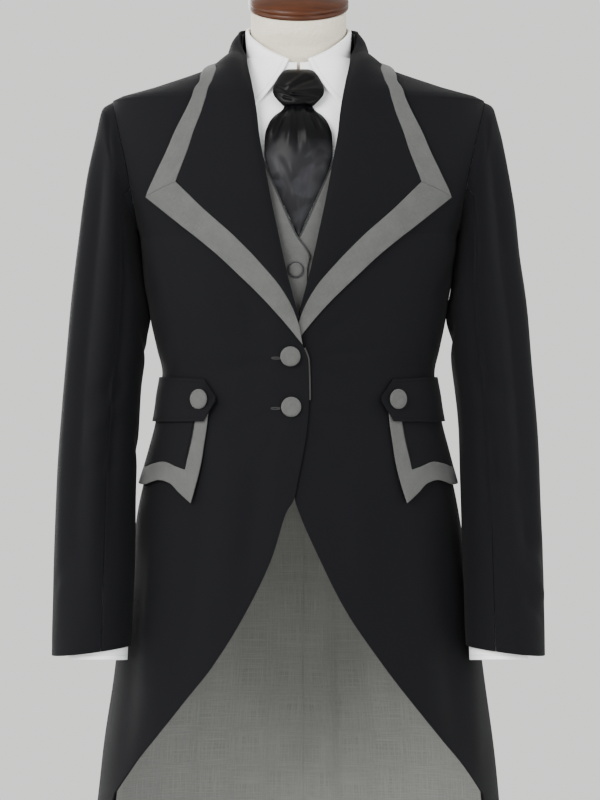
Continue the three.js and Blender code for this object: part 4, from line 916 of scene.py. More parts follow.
def hang(side, angle, z):
    """How far the worn coat stands off its even form: the lap of the fronts, the folds and a slow
    unevenness. Everything that lies on the coat takes the same, so that it keeps its distance."""
    name, sign = side
    point = COAT.bare(angle, z)
    x, z = point[..., 0], point[..., 2]
    ahead = ease(angle, *FOLDS_AHEAD)
    lap = column(LAP, 1, z) * (1 - ease(x, *LAP_X)) if sign < 0 else 0
    folds = creased(x, z, FRONT_FOLDS[name]) * ahead
    folds = folds + creased(angle * DEGREE, z, BACK_FOLDS[name]) * (1 - ahead)
    beside_edge = ease(x, *FRONT_QUIET) * ahead + (1 - ahead) * ease(angle, *BACK_QUIET)
    slow = uneven(angle * DEGREE, z, HANG["seed"] + sign, HANG["size"], HANG["height"])
    settled = 1 - ease(z, *SHOULDER_QUIET)
    worn = folds * HANG["folds"] + slow * settled
    return lap + worn * np.where(angle < -90, 0, beside_edge) * off_arm(point)


def rows_from(high, low, step=STEP, knots=()):
    """Heights in even steps from high to low, with the given ones among them."""
    even = np.linspace(high, low, int(round((high - low) / step)) + 1)
    return np.array(sorted({round(float(v), 3) for v in (*even, *knots)}, reverse=True))


def between_edges(shape, z, start, end, columns):
    """Angles in even steps from one edge to the other at each height, half a seam gap inside both."""
    start = shape.nudge(start, z, -SEAM_GAP / 2)
    end = shape.nudge(end, z, SEAM_GAP / 2)
    t = np.linspace(0, 1, columns)[None]
    return start[:, None] + (end - start)[:, None] * t, z[:, None] * np.ones((1, columns))


SEAM_SINK = {"depth": 0.7, "reach": 4.0}


def seam_dip(angle, z, first, last):
    """The soft sink of the cloth beside a pressed seam on the first or last edge of its rows."""
    point = COAT.bare(angle, z)
    radius = np.hypot(point[..., 0], point[..., 1])
    total = np.zeros(angle.shape)
    for sewn, seam in ((first, angle[:, :1]), (last, angle[:, -1:])):
        if sewn:
            total += np.exp(-((np.radians(angle - seam) * radius / SEAM_SINK["reach"]) ** 2))
    return -SEAM_SINK["depth"] * total * off_arm(point)


def ring_heights(ring, low=-1, high=1):
    """Heights round an armhole, close together where its edge turns, so that both sides follow it."""
    share = np.cos(np.radians(np.array([0.9, 5, 10, 15, 20, 25, 30, 36, 42, 48])))
    shares = [v for v in (*share, *-share) if low < v < high]
    return [ring["z"] + ring["half"] * v for v in shares]


def coat_piece(name, side, z, start, end, columns, first, last, extra=None):
    angle, z = between_edges(COAT, z, start, end, columns)
    lift = hang(side, angle, z) + seam_dip(angle, z, first, last)
    if extra is not None:
        lift = lift + extra(angle, z)
    panel(name, COAT, side[1], angle, z, lift, COAT_CLOTH, "coat")


def coat_body(side):
    name, sign = side
    layer = "over" if sign < 0 else "under"
    ring = ring_heights(COAT_RING)

    def dart(angle, z):
        """A sewn dart: a narrow groove with a soft swell of cloth beside it."""
        point = COAT.bare(angle, z)
        folds = [(*DARTS[name], *shape) for shape in DART_SHAPES]
        return creased(point[..., 0], point[..., 2], folds)

    z = rows_from(COAT_TOP_Z, FRONT_LOW_Z, knots=ring)
    coat_piece(f"coat_front_{name}", side, z, front_edge(layer, z), front_outer(z), 60, False, True, dart)
    z = rows_from(SIDE_BACK_TOP - 1, COAT_HEM_Z, knots=ring_heights(COAT_RING, high=-0.4))
    start = side_outer(z)
    coat_piece(f"coat_side_{name}", side, z, start, column(SEAMS, 2, z), 22, True, True)
    z = rows_from(COAT_TOP_Z, COAT_HEM_Z, knots=(*ring_heights(COAT_RING, low=0), SIDE_BACK_TOP))
    coat_piece(f"coat_back_{name}", side, z, back_outer(z), centre_back(z), 44, True, True)


LINING_CLOTH = 1.0
LINING_LIFT = -2.95
LINING_ROWS = {"top": 1045, "low": 475, "step": 6}
# The lining takes the coat's outward folds only up to this height.
LINING_HANG = 0.4
LINING_SLACK = {"depth": 2.2, "from": 70, "to": 165}
LINING_EDGE = {"angle": -12, "inset": 5}
# One half of the lining laps over the other below the vent's opening.
LINING_LAP = {"past": 9, "lift": 1.3, "x": (0, 40), "z": (960, 982)}


def tail_lining(side):
    """The lining of the tails: it hangs inside the back, and its halves meet at the vent."""
    name, sign = side
    z = rows_from(LINING_ROWS["top"], LINING_ROWS["low"], LINING_ROWS["step"])
    start = np.minimum(LINING_EDGE["angle"], column(TAIL_EDGE, 1, z) - LINING_EDGE["inset"])
    past = LINING_LAP["past"] * (1 - ease(z, *LINING_LAP["z"])) if sign < 0 else 0 * z
    angle, z = between_edges(COAT, z, start, COAT.nudge(centre_back(z), z, -past), 56)
    x = COAT.bare(angle, z)[..., 0]
    slack = -LINING_SLACK["depth"] * ease(x, LINING_SLACK["from"], LINING_SLACK["to"])
    if sign < 0:
        lapped = (1 - ease(x, *LINING_LAP["x"])) * (1 - ease(z, *LINING_LAP["z"]))
        slack = slack - LINING_LAP["lift"] * lapped
    lift = LINING_LIFT + slack + np.minimum(hang(side, angle, z), LINING_HANG)
    panel(f"coat_lining_{name}", COAT, sign, angle, z, lift, LINING_CLOTH, "lining")


# angle, z of the collar's crease round the neck.
CREASE = (
    (33, 1502.3),
    (27, 1508),
    (19, 1515),
    (6, 1530),
    (-15, 1535),
    (-38, 1539),
    (-64, 1541.5),
    (-90, 1542),
)


# Bands round the neck: the front angle where each ends, its distances from its guide lines, and its wall.
COAT_STAND = {"end": 25, "above": 1.0, "below": 0.7}
SHIRT_STAND = {"end": 88.2, "below": 1.8, "lift": 1.5, "cloth": 1.2}
CRAVAT_ROUND = {"end": 72, "half": 4.5, "lift": 3.4, "cloth": 0.8}


def neck_band(name, shape, front_end, edges, lift, thickness, key):
    """A band round the neck between two edges, from a front angle round the back to its mirror."""
    turn = np.linspace(front_end, -180 - front_end, 120)
    own = np.degrees(np.arctan2(np.sin(np.radians(turn)), np.abs(np.cos(np.radians(turn)))))
    t = np.linspace(1, 0, 8)[:, None]
    low, high = edges(own)
    z = mixed(low[None], high[None], t)
    angle = turn[None] * np.ones_like(z)
    panel(name, shape, 1, angle, z, np.full(z.shape, float(lift)), thickness, key)


def coat_collar_stand():
    def edges(own):
        low = np.full(own.shape, COAT_TOP_Z + COAT_STAND["above"])
        return low, column(CREASE, 1, own) - COAT_STAND["below"]

    neck_band("coat_collar_stand", COAT, COAT_STAND["end"], edges, 0, COAT_CLOTH, "coat")


# Lapels, collar fall and their grey bands.
# crease x or angle, z, inner edge x or angle, z, roll, fullness; x on the front, angles behind it.
LAPEL_FRONT = (
    (1.5, 1194, 6, 1206, 0.2, 0.45),
    (6.5, 1212, 20, 1230, 0.8, 0.4),
    (13, 1236, 42, 1256, 2, 0.35),
    (21, 1270, 73, 1288, 3, 0.3),
    (28, 1302, 109.5, 1321, 3.4, 0.25),
    (34, 1330, 139, 1350.5, 3.6, 0.2),
    (40.5, 1365, 132, 1369.5, 3.8, 0.2),
    (46.5, 1397, 123.5, 1393, 4, 0.22),
    (50.5, 1430, 111.5, 1428, 4.2, 0.28),
    (53.5, 1448, 105.5, 1447, 4.4, 0.32),
    (57, 1465, 100, 1463.3, 4.6, 0.36),
    (62, 1487, 94, 1482, 5.4, 0.42),
)
LAPEL_BEHIND = (
    (33, 1502.3, 13, 1493, 6.2, 0.45),
    (19, 1515, 1, 1496.5, 6.4, 0.45),
    (6, 1530, -11, 1496.5, 6.4, 0.45),
    (-12, 1534, -26, 1497, 6.2, 0.45),
    (-31, 1537.5, -42, 1498.3, 5.8, 0.45),
    (-50, 1540.4, -58, 1499.5, 5.4, 0.45),
    (-70, 1541.7, -74, 1500, 5, 0.45),
    (-90, 1542, -90, 1500, 5, 0.45),
)
LAPEL_CORNER = 5
# How far the cloth goes on past its crease, and its lift there: it dives under the roll.
LAPEL_TUCK = ((2.6, -2.2), (2.5, -1.2), (1.9, -0.5), (1.0, -0.1))
# inner x, z, outer x, z
LOWER_BAND = (
    (-0.8, 1186, -4.6, 1164),
    (2.5, 1196, 8, 1180),
    (6, 1206, 22, 1197),
    (20, 1230, 37, 1213.5),
    (42, 1256, 61, 1237),
    (73, 1288, 92, 1266.5),
    (109.5, 1321, 131, 1299),
    (139, 1350.5, 174, 1335),
)
SIDE_BAND_FRONT = (
    (139, 1350.5, 174, 1335),
    (132, 1369.5, 162, 1361.5),
    (123.5, 1393, 149, 1389),
    (111.5, 1428, 130, 1430.5),
    (105.5, 1447, 122, 1448),
    (100, 1463.3, 115, 1462.5),
)
# inner angle, z, outer angle, z
SIDE_BAND_BEHIND = (
    (13, 1493, 10, 1489),
    (1, 1496.5, -1, 1488.5),
    (-11, 1496.5, -13, 1485),
    (-26, 1497, -28, 1479.5),
    (-42, 1498.3, -43, 1477.2),
    (-58, 1499.5, -58, 1477),
    (-74, 1500, -74, 1478),
    (-90, 1500, -90, 1478),
)
SIDE_BAND_TURN = {"inner": (94, 1482), "outer": (24.2, 1480.6)}
# z, how far the lapel's underside stands off the coat.
LAPEL_OFF = ((1485, 2), (1463, 3.2), (1448, 3.4), (1425, 2.4), (1270, 2), (1205, 0.7))


def ahead_of(shape, rows):
    """Rows of x, z, x, z, ... turned into angle, z, angle, z, ..."""
    rows = np.array(rows, float)
    rows[:, 0] = shape.front_angle(rows[:, 0], rows[:, 1])
    rows[:, 2] = shape.front_angle(rows[:, 2], rows[:, 3])
    return rows


def along(rows, count, corner=None):
    """The columns of a table drawn out smoothly over its rows, in two runs if it has a corner."""
    rows = np.asarray(rows, float)
    last = len(rows) - 1
    runs = [(0, last)] if corner is None else [(0, corner), (corner, last)]
    at, values = [], []
    for start, end in runs:
        place = np.linspace(start, end, max(3, int(round(count * (end - start) / last))))
        index = np.arange(start, end + 1)
        part = np.stack([smooth(index, rows[start : end + 1, k], place) for k in range(rows.shape[1])], 1)
        skip = 1 if at else 0
        at.append(place[skip:])
        values.append(part[skip:])
    return np.concatenate(at), np.concatenate(values)


def lapel(side):
    """The lapel and collar fall in one sheet: from the crease it rolls over and lies to the band."""
    name, sign = side
    table = np.concatenate([ahead_of(COAT, LAPEL_FRONT), np.array(LAPEL_BEHIND, float)])
    at, rows = along(table, 190, LAPEL_CORNER)
    index = np.arange(len(table))
    crease_angle, crease_z = (smooth(index, table[:, k], at) for k in range(2))
    point = COAT.bare(crease_angle, crease_z)
    radius = np.hypot(point[..., 0], point[..., 1])
    run = np.radians(np.gradient(crease_angle)) * radius
    rise = np.gradient(crease_z)
    size = np.hypot(run, rise)
    tucks, tuck_lift = np.array(LAPEL_TUCK).T
    aside = (rise / size)[:, None] * tucks[None]
    tuck_angle = COAT.nudge(crease_angle[:, None], crease_z[:, None], aside)
    tuck_z = crease_z[:, None] - (run / size)[:, None] * tucks[None]
    t = np.concatenate([[0.015], np.linspace(0.05, 0.995, 24)])[None]
    fall_angle = mixed(crease_angle[:, None], rows[:, 2:3], t)
    fall_z = mixed(crease_z[:, None], rows[:, 3:4], t)
    fullness = np.log(0.5) / np.log(rows[:, 5:6])
    roll = rows[:, 4:5] * np.sin(np.pi * np.power(t, fullness))
    angle = np.concatenate([tuck_angle, fall_angle], 1)
    z = np.concatenate([tuck_z, fall_z], 1)
    own = np.concatenate([np.tile(tuck_lift, (len(at), 1)), roll], 1)
    last = angle.shape[0] - 1
    angle[last] = COAT.nudge(angle[last], z[last], SEAM_GAP / 2)
    lift = COAT_CLOTH + own + column(LAPEL_OFF, 1, z) + hang(side, angle, z)
    panel(f"lapel_{name}", COAT, sign, angle, z, lift, COAT_CLOTH, "coat")


# Half the gap between the two grey bands at the lapel's corner.
MITRE_GAP = 0.015
BAND_STEPS = (0.014, 0.12, 0.3, 0.5, 0.7, 0.88, 1)


def band(node_name, side, table, start_drop, end_drop):
    name, sign = side
    _, rows = along(table, 110)
    t = np.array(BAND_STEPS)[None]
    angle = mixed(rows[:, 0:1], rows[:, 2:3], t)
    z = mixed(rows[:, 1:2], rows[:, 3:4], t)
    z[0] += start_drop
    z[-1] += end_drop
    if end_drop == 0:
        angle[-1] = COAT.nudge(angle[-1], z[-1], SEAM_GAP / 2)
    lift = COAT_CLOTH + column(LAPEL_OFF, 1, z) + hang(side, angle, z)
    panel(f"{node_name}_{name}", COAT, sign, angle, z, lift, COAT_CLOTH, "grey")


def lapel_bands(side):
    front = ahead_of(COAT, SIDE_BAND_FRONT)
    turn_x, turn_z = SIDE_BAND_TURN["inner"]
    turn = np.array([[COAT.front_angle(turn_x, turn_z), turn_z, *SIDE_BAND_TURN["outer"]]])
    behind = np.array(SIDE_BAND_BEHIND, float)
    band("lapel_band_lower", side, ahead_of(COAT, LOWER_BAND), 0, -MITRE_GAP)
    band("lapel_band_side", side, np.concatenate([front, turn, behind]), MITRE_GAP, 0)


EDGING = {"high": 1160, "low": 1100, "radius": 1.0, "inset": 1.2}


def front_edging():
    """The thin grey edge of the over front, between lapel and second button, in the trim's grey darkened by
    painted shade.
    """
    z = np.linspace(EDGING["high"], EDGING["low"], 30)
    angle = COAT.nudge(front_edge("over", z), z, EDGING["inset"])
    lift = column(LAP, 1, z) - EDGING["radius"]
    path = mirrored(COAT.lifted(angle, z, lift), -1)
    edging = cord_along("front_edging", path, EDGING["radius"], "edging")
    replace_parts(edging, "front_edging")


# Hip tabs, flaps and buttons.
# top angle, z, low angle, z
TAB = (
    (-9, 1127, -9, 1074),
    (4, 1127, 4, 1074),
    (15, 1127, 15, 1074),
    (25, 1126, 25, 1074),
    (34, 1125, 34, 1074.5),
    (42.5, 1124, 43.5, 1075),
    (48.6, 1103.5, 48.6, 1098.5),
)
TAB_OFF = ((0, 1.6), (0.5, 5), (1, 6))
# angle, z, stand
FLAP_OUTER = (
    (45, 1092, 1.7),
    (44.6, 1050, 1.6),
    (45.1, 1012, 3),
    (45.1, 981, 5),
    (38.8, 993, 4.4),
    (32.5, 1004, 4),
    (26.5, 1006.8, 3.8),
    (14, 1000.5, 4.2),
    (-8, 1002, 4.2),
)
FLAP_INNER = (
    (39.3, 1092, 1.7),
    (38.1, 1060, 1.4),
    (38, 1038, 2),
    (38.4, 1020, 2.8),
    (34.1, 1023, 2.8),
    (26, 1028.5, 2.6),
    (19, 1026, 2.6),
    (9, 1021.5, 3),
    (-8, 1023, 3),
)
FLAP_CORNER = 3
FLAP_TOP = (1092, 1.7)
FLAP_CLOTH = 1.6
FLAP_LIFT = 2.0


def hip_tab(side):
    name, sign = side
    point = len(TAB) - 2
    place = np.concatenate([np.linspace(0, point, 60), np.linspace(point, point + 1, 14)[1:]])
    table = np.array(TAB, float)
    index = np.arange(len(TAB))
    edges = [np.interp(place, index, table[:, k]) for k in range(4)]
    down = np.linspace(0, 1, 22)[:, None]
    angle = mixed(edges[0][None], edges[2][None], down)
    z = mixed(edges[1][None], edges[3][None], down)
    lift = COAT_CLOTH + column(TAB_OFF, 1, down * np.ones_like(z)) + hang(side, angle, z)
    panel(f"hip_tab_{name}", COAT, sign, angle, z, lift, COAT_CLOTH, "tab")


def flap(side):
    """The flap: a grey band down its front and along its hem, and a black field inside it."""
    name, sign = side
    _, outer = along(FLAP_OUTER, 130, FLAP_CORNER)
    at, inner = along(FLAP_INNER, 130, FLAP_CORNER)
    t = np.linspace(0, 0.985, 7)[None]
    angle, z, stand = (mixed(outer[:, k : k + 1], inner[:, k : k + 1], t) for k in range(3))
    lift = FLAP_LIFT + stand + hang(side, angle, z)
    panel(f"flap_band_{name}", COAT, sign, angle, z, lift, FLAP_CLOTH, "grey")
    corner = int(np.argmin(np.abs(at - FLAP_CORNER)))
    front, hem = inner[: corner + 1], inner[corner:]
    rise = ((front[:, 1] - hem[0, 1]) / (FLAP_TOP[0] - hem[0, 1]))[:, None]
    share = np.linspace(0, 1, len(hem))[None]
    lean = (front[0, 0] - hem[0, 0]) * (1 - share)
    angle = mixed(hem[None, :, 0], hem[None, :, 0] + lean, rise)
    z = mixed(hem[None, :, 1], FLAP_TOP[0], rise)
    stand = mixed(hem[None, :, 2], FLAP_TOP[1], rise)
    angle[:, 0], z[:, 0], stand[:, 0] = front[:, 0], front[:, 1], front[:, 2]
    lift = FLAP_LIFT + stand + hang(side, angle, z)
    panel(f"flap_{name}", COAT, sign, angle, z, lift, FLAP_CLOTH, "coat")


# radius, height as shares of the button's radius and of its height: a soft covered dome.
BUTTON_PROFILE = (
    (0, 0),
    (0.86, 0),
    (0.95, 0.08),
    (1, 0.24),
    (0.99, 0.42),
    (0.94, 0.6),
    (0.84, 0.76),
    (0.66, 0.9),
    (0.4, 0.98),
    (0, 1),
)
BUTTON_HEIGHT = 0.42
COAT_BUTTON = 11.5
WAISTCOAT_BUTTON = 8.0
FRONT_BUTTONS = (("front_button_1", 9.1, 1150.7), ("front_button_2", 8.2, 1092))
TAB_BUTTON = (110, 1101)
BUTTON_CLEAR = 0.7
# inner x, outer x, z
BUTTONHOLES = ((20, 30, 1148.4), (20.5, 31, 1090.2))
HOLE_THREAD = {"radius": 0.75, "lift": 0.35, "half": 1.1}


def button(name, shape, sign, x, z, lift, radius):
    angle = shape.front_angle(x, z)
    axis = mirrored(shape.outward(angle, z), sign)
    centre = mirrored(shape.lifted(angle, z, lift), sign)
    profile = [(r * radius, h * radius * BUTTON_HEIGHT) for r, h in BUTTON_PROFILE]
    turned(name, profile, 40, centre, axis, "grey")


def buttonhole(name, inner, outer, z):
    """A worked hole: a thread loop round the slit on the over front."""
    turn = np.linspace(0, 2 * np.pi, 40, endpoint=False)
    x = (inner + outer) / 2 + (outer - inner) / 2 * np.cos(turn)
    height = z + HOLE_THREAD["half"] * np.sin(turn)
    angle = COAT.front_angle(x, height)
    lift = hang(SIDES[0], angle, height) + HOLE_THREAD["lift"]
    path = mirrored(COAT.lifted(angle, height, lift), -1)
    cord_along(name, path, HOLE_THREAD["radius"], "thread", closed=True)


def coat_buttons():
    for name, x, z in FRONT_BUTTONS:
        lift = float(column(LAP, 1, z)) + BUTTON_CLEAR
        button(name, COAT, -1, x, z, lift, COAT_BUTTON)
    for name, sign in SIDES:
        angle = float(COAT.front_angle(*TAB_BUTTON))
        own = float(hang((name, sign), np.array(angle), np.array(float(TAB_BUTTON[1]))))
        lift = TAB_OFF[1][1] + COAT_CLOTH + BUTTON_CLEAR + own
        button(f"tab_button_{name}", COAT, sign, *TAB_BUTTON, lift, COAT_BUTTON)
    for i, (inner, outer, z) in enumerate(BUTTONHOLES):
        buttonhole(f"buttonhole_{i + 1}", inner, outer, z)


# Sleeves.
# outer x, z, inner x, z, half depth, forward, hollow: sections from the armhole to the cuff.
SLEEVE = (
    (219, 1451, 187, 1290, 63, 0, 3.5),
    (231, 1444, 187.6, 1282, 66, 0, 0),
    (239, 1415, 187, 1262, 67, 1, 0),
    (248, 1370, 183.2, 1232, 67, 2, 0),
    (257, 1312, 178.2, 1195, 66, 4, 0),
    (264, 1250, 179, 1158, 65, 7, 0),
    (271, 1180, 184, 1110, 63, 12, 0),
    (278, 1095, 188, 1052, 60.5, 19, 0),
    (283, 1010, 190, 990, 58, 29, 0),
    (285, 925, 191.5, 918, 55, 41, 0),
    (286, 860, 193, 860, 53, 51, 0),
    (286.5, 803.5, 194.5, 815, 51, 60, 0),
)
SLEEVE_START = 0.006
SLEEVE_SEAM = 108
SLEEVE_GAP = 0.16
# One section further down is about 55 mm, one degree round it about 1 mm.
SECTION = 55.0
# Sections and turns between which the folds, the swell against the body and the seams' sink run.
WORN = {
    "folds": 1.4,
    "seed": 11,
    "size": 120,
    "height": 1.3,
    "deepest": -4.2,
    "from": (0.1, 0.9),
    "to": (10.2, 11),
    "hem": 0.75,
}
INNER_SWELL = {"height": 4.3, "reach": 38, "from": (0.3, 1.3), "to": (3.9, 4.7)}
SLEEVE_SINK = {"depth": 0.4, "reach": 4, "clear": (0.2, 1.0)}
# turn, at to turn, at, half width, height
SLEEVE_FOLDS = {
    "left": (
        (86, 60, 92, 560, 13, 3.6),
        (58, 90, 66, 520, 11, -2.8),
        (30, 60, 40, 600, 14, 1.8),
        (112, 120, 118, 480, 10, -2.6),
        (-30, 120, -24, 560, 16, 2.2),
        (-70, 90, -64, 540, 13, -2.4),
        (10, 40, 6, 250, 12, -1.2),
        (132, 330, 74, 372, 9, -2.6),
        (128, 356, 70, 402, 8, 1.6),
        (126, 410, 62, 438, 8, -1.8),
        (60, 500, 20, 530, 9, -1.1),
        (40, 20, 70, 78, 9, -1.6),
        (-12, 18, -20, 74, 9, -1.3),
        (150, 250, 210, 300, 10, -2.0),
        (160, 380, 215, 420, 10, -1.8),
    ),
    "right": (
        (90, 70, 84, 560, 13, 3.4),
        (62, 60, 56, 540, 12, -3.0),
        (34, 90, 30, 560, 13, 2.0),
        (116, 100, 110, 500, 11, -2.8),
        (-34, 100, -22, 580, 15, 2.0),
        (-66, 120, -72, 560, 14, -2.6),
        (8, 50, 12, 270, 12, -1.3),
        (130, 316, 78, 366, 9, -2.4),
        (134, 350, 72, 384, 8, 1.5),
        (120, 420, 58, 452, 9, -2.0),
        (66, 476, 6, 512, 8, -2.0),
        (70, 506, 10, 544, 8, 1.5),
        (64, 540, 14, 566, 7, -1.4),
        (44, 16, 66, 80, 9, -1.5),
        (150, 230, 212, 290, 10, -2.1),
    ),
}


def sleeve_bare(at, turn):
    """A point round a section: turn 0 is its outer line, 90 its front and 180 its inner line."""
    top_x, top_z, low_x, low_z, depth, forward, hollow = (
        smooth(np.arange(len(SLEEVE)), [row[k] for row in SLEEVE], at) for k in range(7)
    )
    c, s = np.cos(np.radians(turn)), np.sin(np.radians(turn))
    across = (1 + c) / 2
    x = mixed(low_x, top_x, across) - hollow * s * s
    return np.stack([x, -forward - depth * s, mixed(low_z, top_z, across)], -1)


def sleeve_outward(at, turn):
    end = len(SLEEVE) - 1
    down = sleeve_bare(np.minimum(end, at + 0.05), turn) - sleeve_bare(np.maximum(0, at - 0.05), turn)
    round_it = sleeve_bare(at, turn + 1) - sleeve_bare(at, turn - 1)
    normal = np.cross(round_it, down)
    normal /= np.maximum(np.linalg.norm(normal, axis=-1, keepdims=True), 1e-9)
    middle = (sleeve_bare(at, turn * 0) + sleeve_bare(at, turn * 0 + 180)) / 2
    facing = (normal * (sleeve_bare(at, turn) - middle)).sum(-1, keepdims=True)
    return np.where(facing < 0, -normal, normal)


def armhole(shape, ring, turn):
    """The edge of an armhole: the points of the shape's surface on an ellipse seen from the side."""
    c, s = np.cos(np.radians(turn)), np.sin(np.radians(turn))
    y, z = ring["depth"] * s, ring["z"] + ring["half"] * c
    ahead = y >= 0
    part = np.power(np.abs(y) / shape.depth(z, ahead), SQUARENESS)
    return np.stack([shape.width(z, ahead) * np.power(1 - part, 1 / SQUARENESS), -y, z], -1)


def sleeve_point(at, turn, lift):
    return sleeve_bare(at, turn) + sleeve_outward(at, turn) * np.asarray(lift, float)[..., None]


def sleeve_lift(side, at, turn, start, end):
    """The folds of the sleeve and the sink beside its two seams, quiet at the armhole and the hem.
    Below the armhole its inner side rests against the body."""
    name, sign = side
    folds = creased(turn, at * SECTION, SLEEVE_FOLDS[name])
    slow = uneven(turn, at * SECTION, WORN["seed"] + sign, WORN["size"], WORN["height"])
    quiet = ease(at, *WORN["from"]) * (1 - WORN["hem"] * ease(at, *WORN["to"]))
    seam = sum(np.exp(-(((turn - edge) / SLEEVE_SINK["reach"]) ** 2)) for edge in (start, end))
    inner = np.exp(-(((np.abs(turn) - 180) / INNER_SWELL["reach"]) ** 2))
    inner = inner * ease(at, *INNER_SWELL["from"]) * (1 - ease(at, *INNER_SWELL["to"]))
    worn = np.maximum((folds * WORN["folds"] + slow) * quiet, WORN["deepest"])
    worn = worn * (1 - ease(seam, *SLEEVE_SINK["clear"]))
    return worn + INNER_SWELL["height"] * inner - SLEEVE_SINK["depth"] * seam


def sleeve_piece(name, side, start, end, columns):
    at = np.linspace(SLEEVE_START, len(SLEEVE) - 1, 132)[:, None] * np.ones((1, columns))
    turn = np.linspace(start, end, columns)[None] * np.ones_like(at)
    points = sleeve_point(at, turn, sleeve_lift(side, at, turn, start, end))
    sign = side[1]
    outward = mirrored(sleeve_outward(at, turn), sign)
    cloth(f"{name}_{side[0]}", mirrored(points, sign), outward, COAT_CLOTH, "coat")


SHIRT_SLEEVE = ((0.3, -10), (1.2, -10), (2.5, -9.6), (4, -9.6), (6, -9.6), (8, -9), (9.4, -6.5))
# x, y, z, half width, half depth at the cuff's top and at its free edge.
CUFF = ((232.8, -53, 852, 36, 44.5), (233, -60, 798, 34.2, 42.6))
CUFF_TILT = 3.5
CUFF_CLOTH = 1.6
SHIRT_LIFT = -0.1
SLEEVE_CLEAR = 1.7


def cuff_point(t, turn, inset=0.0):
    x, y, z, half_width, half_depth = (mixed(CUFF[0][k], CUFF[1][k], t) for k in range(5))
    c, s = np.cos(np.radians(turn)), np.sin(np.radians(turn))
    return np.stack([x + (half_width - inset) * c, y - (half_depth - inset) * s, z + t * CUFF_TILT * s], -1)


def tube(name, points, sign, thickness, key):
    """A shirt piece round the arm, its outside away from the middle of each row."""
    outward = points - points.mean(1, keepdims=True)
    cloth(name, mirrored(points, sign), mirrored(outward, sign), thickness, key)


def shirt_sleeve(side):
    """The shirt sleeve inside the coat sleeve: from the shirt's armhole down to the cuff's top."""
    name, sign = side
    columns = 49
    turn = np.linspace(180, 540, columns)
    ring = armhole(FORM, SHIRT_RING, turn) + [SHIRT_LIFT + SLEEVE_CLEAR, 0, 0]
    at = np.linspace(SHIRT_SLEEVE[0][0], SHIRT_SLEEVE[-1][0], 70)[:, None] * np.ones((1, columns))
    body = sleeve_point(at, turn[None] * np.ones_like(at), column(SHIRT_SLEEVE, 1, at))
    low = cuff_point(np.zeros(columns), turn) + [0, 0, SEAM_GAP]
    points = np.concatenate([ring[None], body, low[None]])
    tube(f"shirt_sleeve_{name}", points, sign, SHIRT_CLOTH, "poplin")


def shirt_cuff(side):
    name, sign = side
    turn, t = np.meshgrid(np.linspace(180, 540, 97), np.linspace(0, 1, 14))
    points = cuff_point(t, turn)
    tube(f"shirt_cuff_{name}", points, sign, CUFF_CLOTH, "poplin stitched")


# Waistcoat, shirt and cravat, on the form's surface.
WAISTCOAT_LIFT = 6.8
WAISTCOAT_BACK_LIFT = 8.0
WAISTCOAT_TOP_Z = 1483
TORSO_HEM_Z = 1030
# z, x of the waistcoat's front edge.
WAISTCOAT_EDGE = (
    (1490, 79),
    (1465, 68),
    (1437, 57),
    (1380, 42),
    (1335, 23.5),
    (1291, 3.7),
    (1263, -12.4),
    (1251, -10),
    (1030, -10),
)
# z, front angle, back angle of the waistcoat's armhole.
WAISTCOAT_ARM = (
    (1462, 0, 0),
    (1440, 16, -14),
    (1400, 27, -22),
    (1350, 28, -23),
    (1330, 18.5, -17.5),
    (1315, 9, -9),
    (1301, 0, 0),
)
WAISTCOAT_LAP = {"lift": 3, "x": (14, 45), "z": (1291, 1350)}
WAISTCOAT_FOLD_RANGE = (-1.2, 0.8)
# The piping of the V ends where the front that laps over covers it.
PIPING = {"radius": 1.1, "sink": 0.5, "left": 1262, "right": 1276}
BUTTON_RIM = {"radius": 0.8, "outside": 0.4, "lift": 0.9}
BACK_SEAM = {"depth": 0.5, "reach": 1.6}
# x, z, lift above the lap
WAISTCOAT_BUTTONS = ((3, 1250, 0.3), (3, 1186, 1), (3, 1122, 1), (3, 1058, 1))
WAISTCOAT_FOLDS = (
    (24, 1244, 88, 1268, 7, -1.0),
    (24, 1236, 76, 1210, 7, -0.9),
    (60, 1400, 50, 1330, 9, 0.8),
    (20, 1180, 84, 1160, 8, -0.9),
)


def waistcoat_lap(sign, x, z):
    """How far the front that laps over stands off, along the middle and below the V."""
    if sign > 0:
        return np.zeros(np.broadcast(x, z).shape)
    return WAISTCOAT_LAP["lift"] * (1 - ease(x, *WAISTCOAT_LAP["x"])) * (1 - ease(z, *WAISTCOAT_LAP["z"]))


def waistcoat_front(side):
    name, sign = side
    z = rows_from(WAISTCOAT_TOP_Z, TORSO_HEM_Z, 6)
    start = FORM.front_angle(column(WAISTCOAT_EDGE, 1, z), z)
    angle, z = between_edges(FORM, z, start, column(WAISTCOAT_ARM, 1, z), 44)
    x = FORM.bare(angle, z)[..., 0]
    folds = np.clip(creased(x, z, WAISTCOAT_FOLDS), *WAISTCOAT_FOLD_RANGE)
    lift = WAISTCOAT_LIFT + waistcoat_lap(sign, x, z) + folds
    panel(f"waistcoat_front_{name}", FORM, sign, angle, z, lift, WAISTCOAT_CLOTH, "grey")


def waistcoat_piping(side):
    """The thin dark line along the edge of the waistcoat's V."""
    name, sign = side
    z = np.linspace(WAISTCOAT_TOP_Z - 1, PIPING[name], 90)
    x = column(WAISTCOAT_EDGE, 1, z)
    lift = WAISTCOAT_LIFT - PIPING["sink"] + waistcoat_lap(sign, x, z)
    path = mirrored(FORM.lifted(FORM.front_angle(x, z), z, lift), sign)
    cord_along(f"waistcoat_piping_{name}", path, PIPING["radius"], "piping")


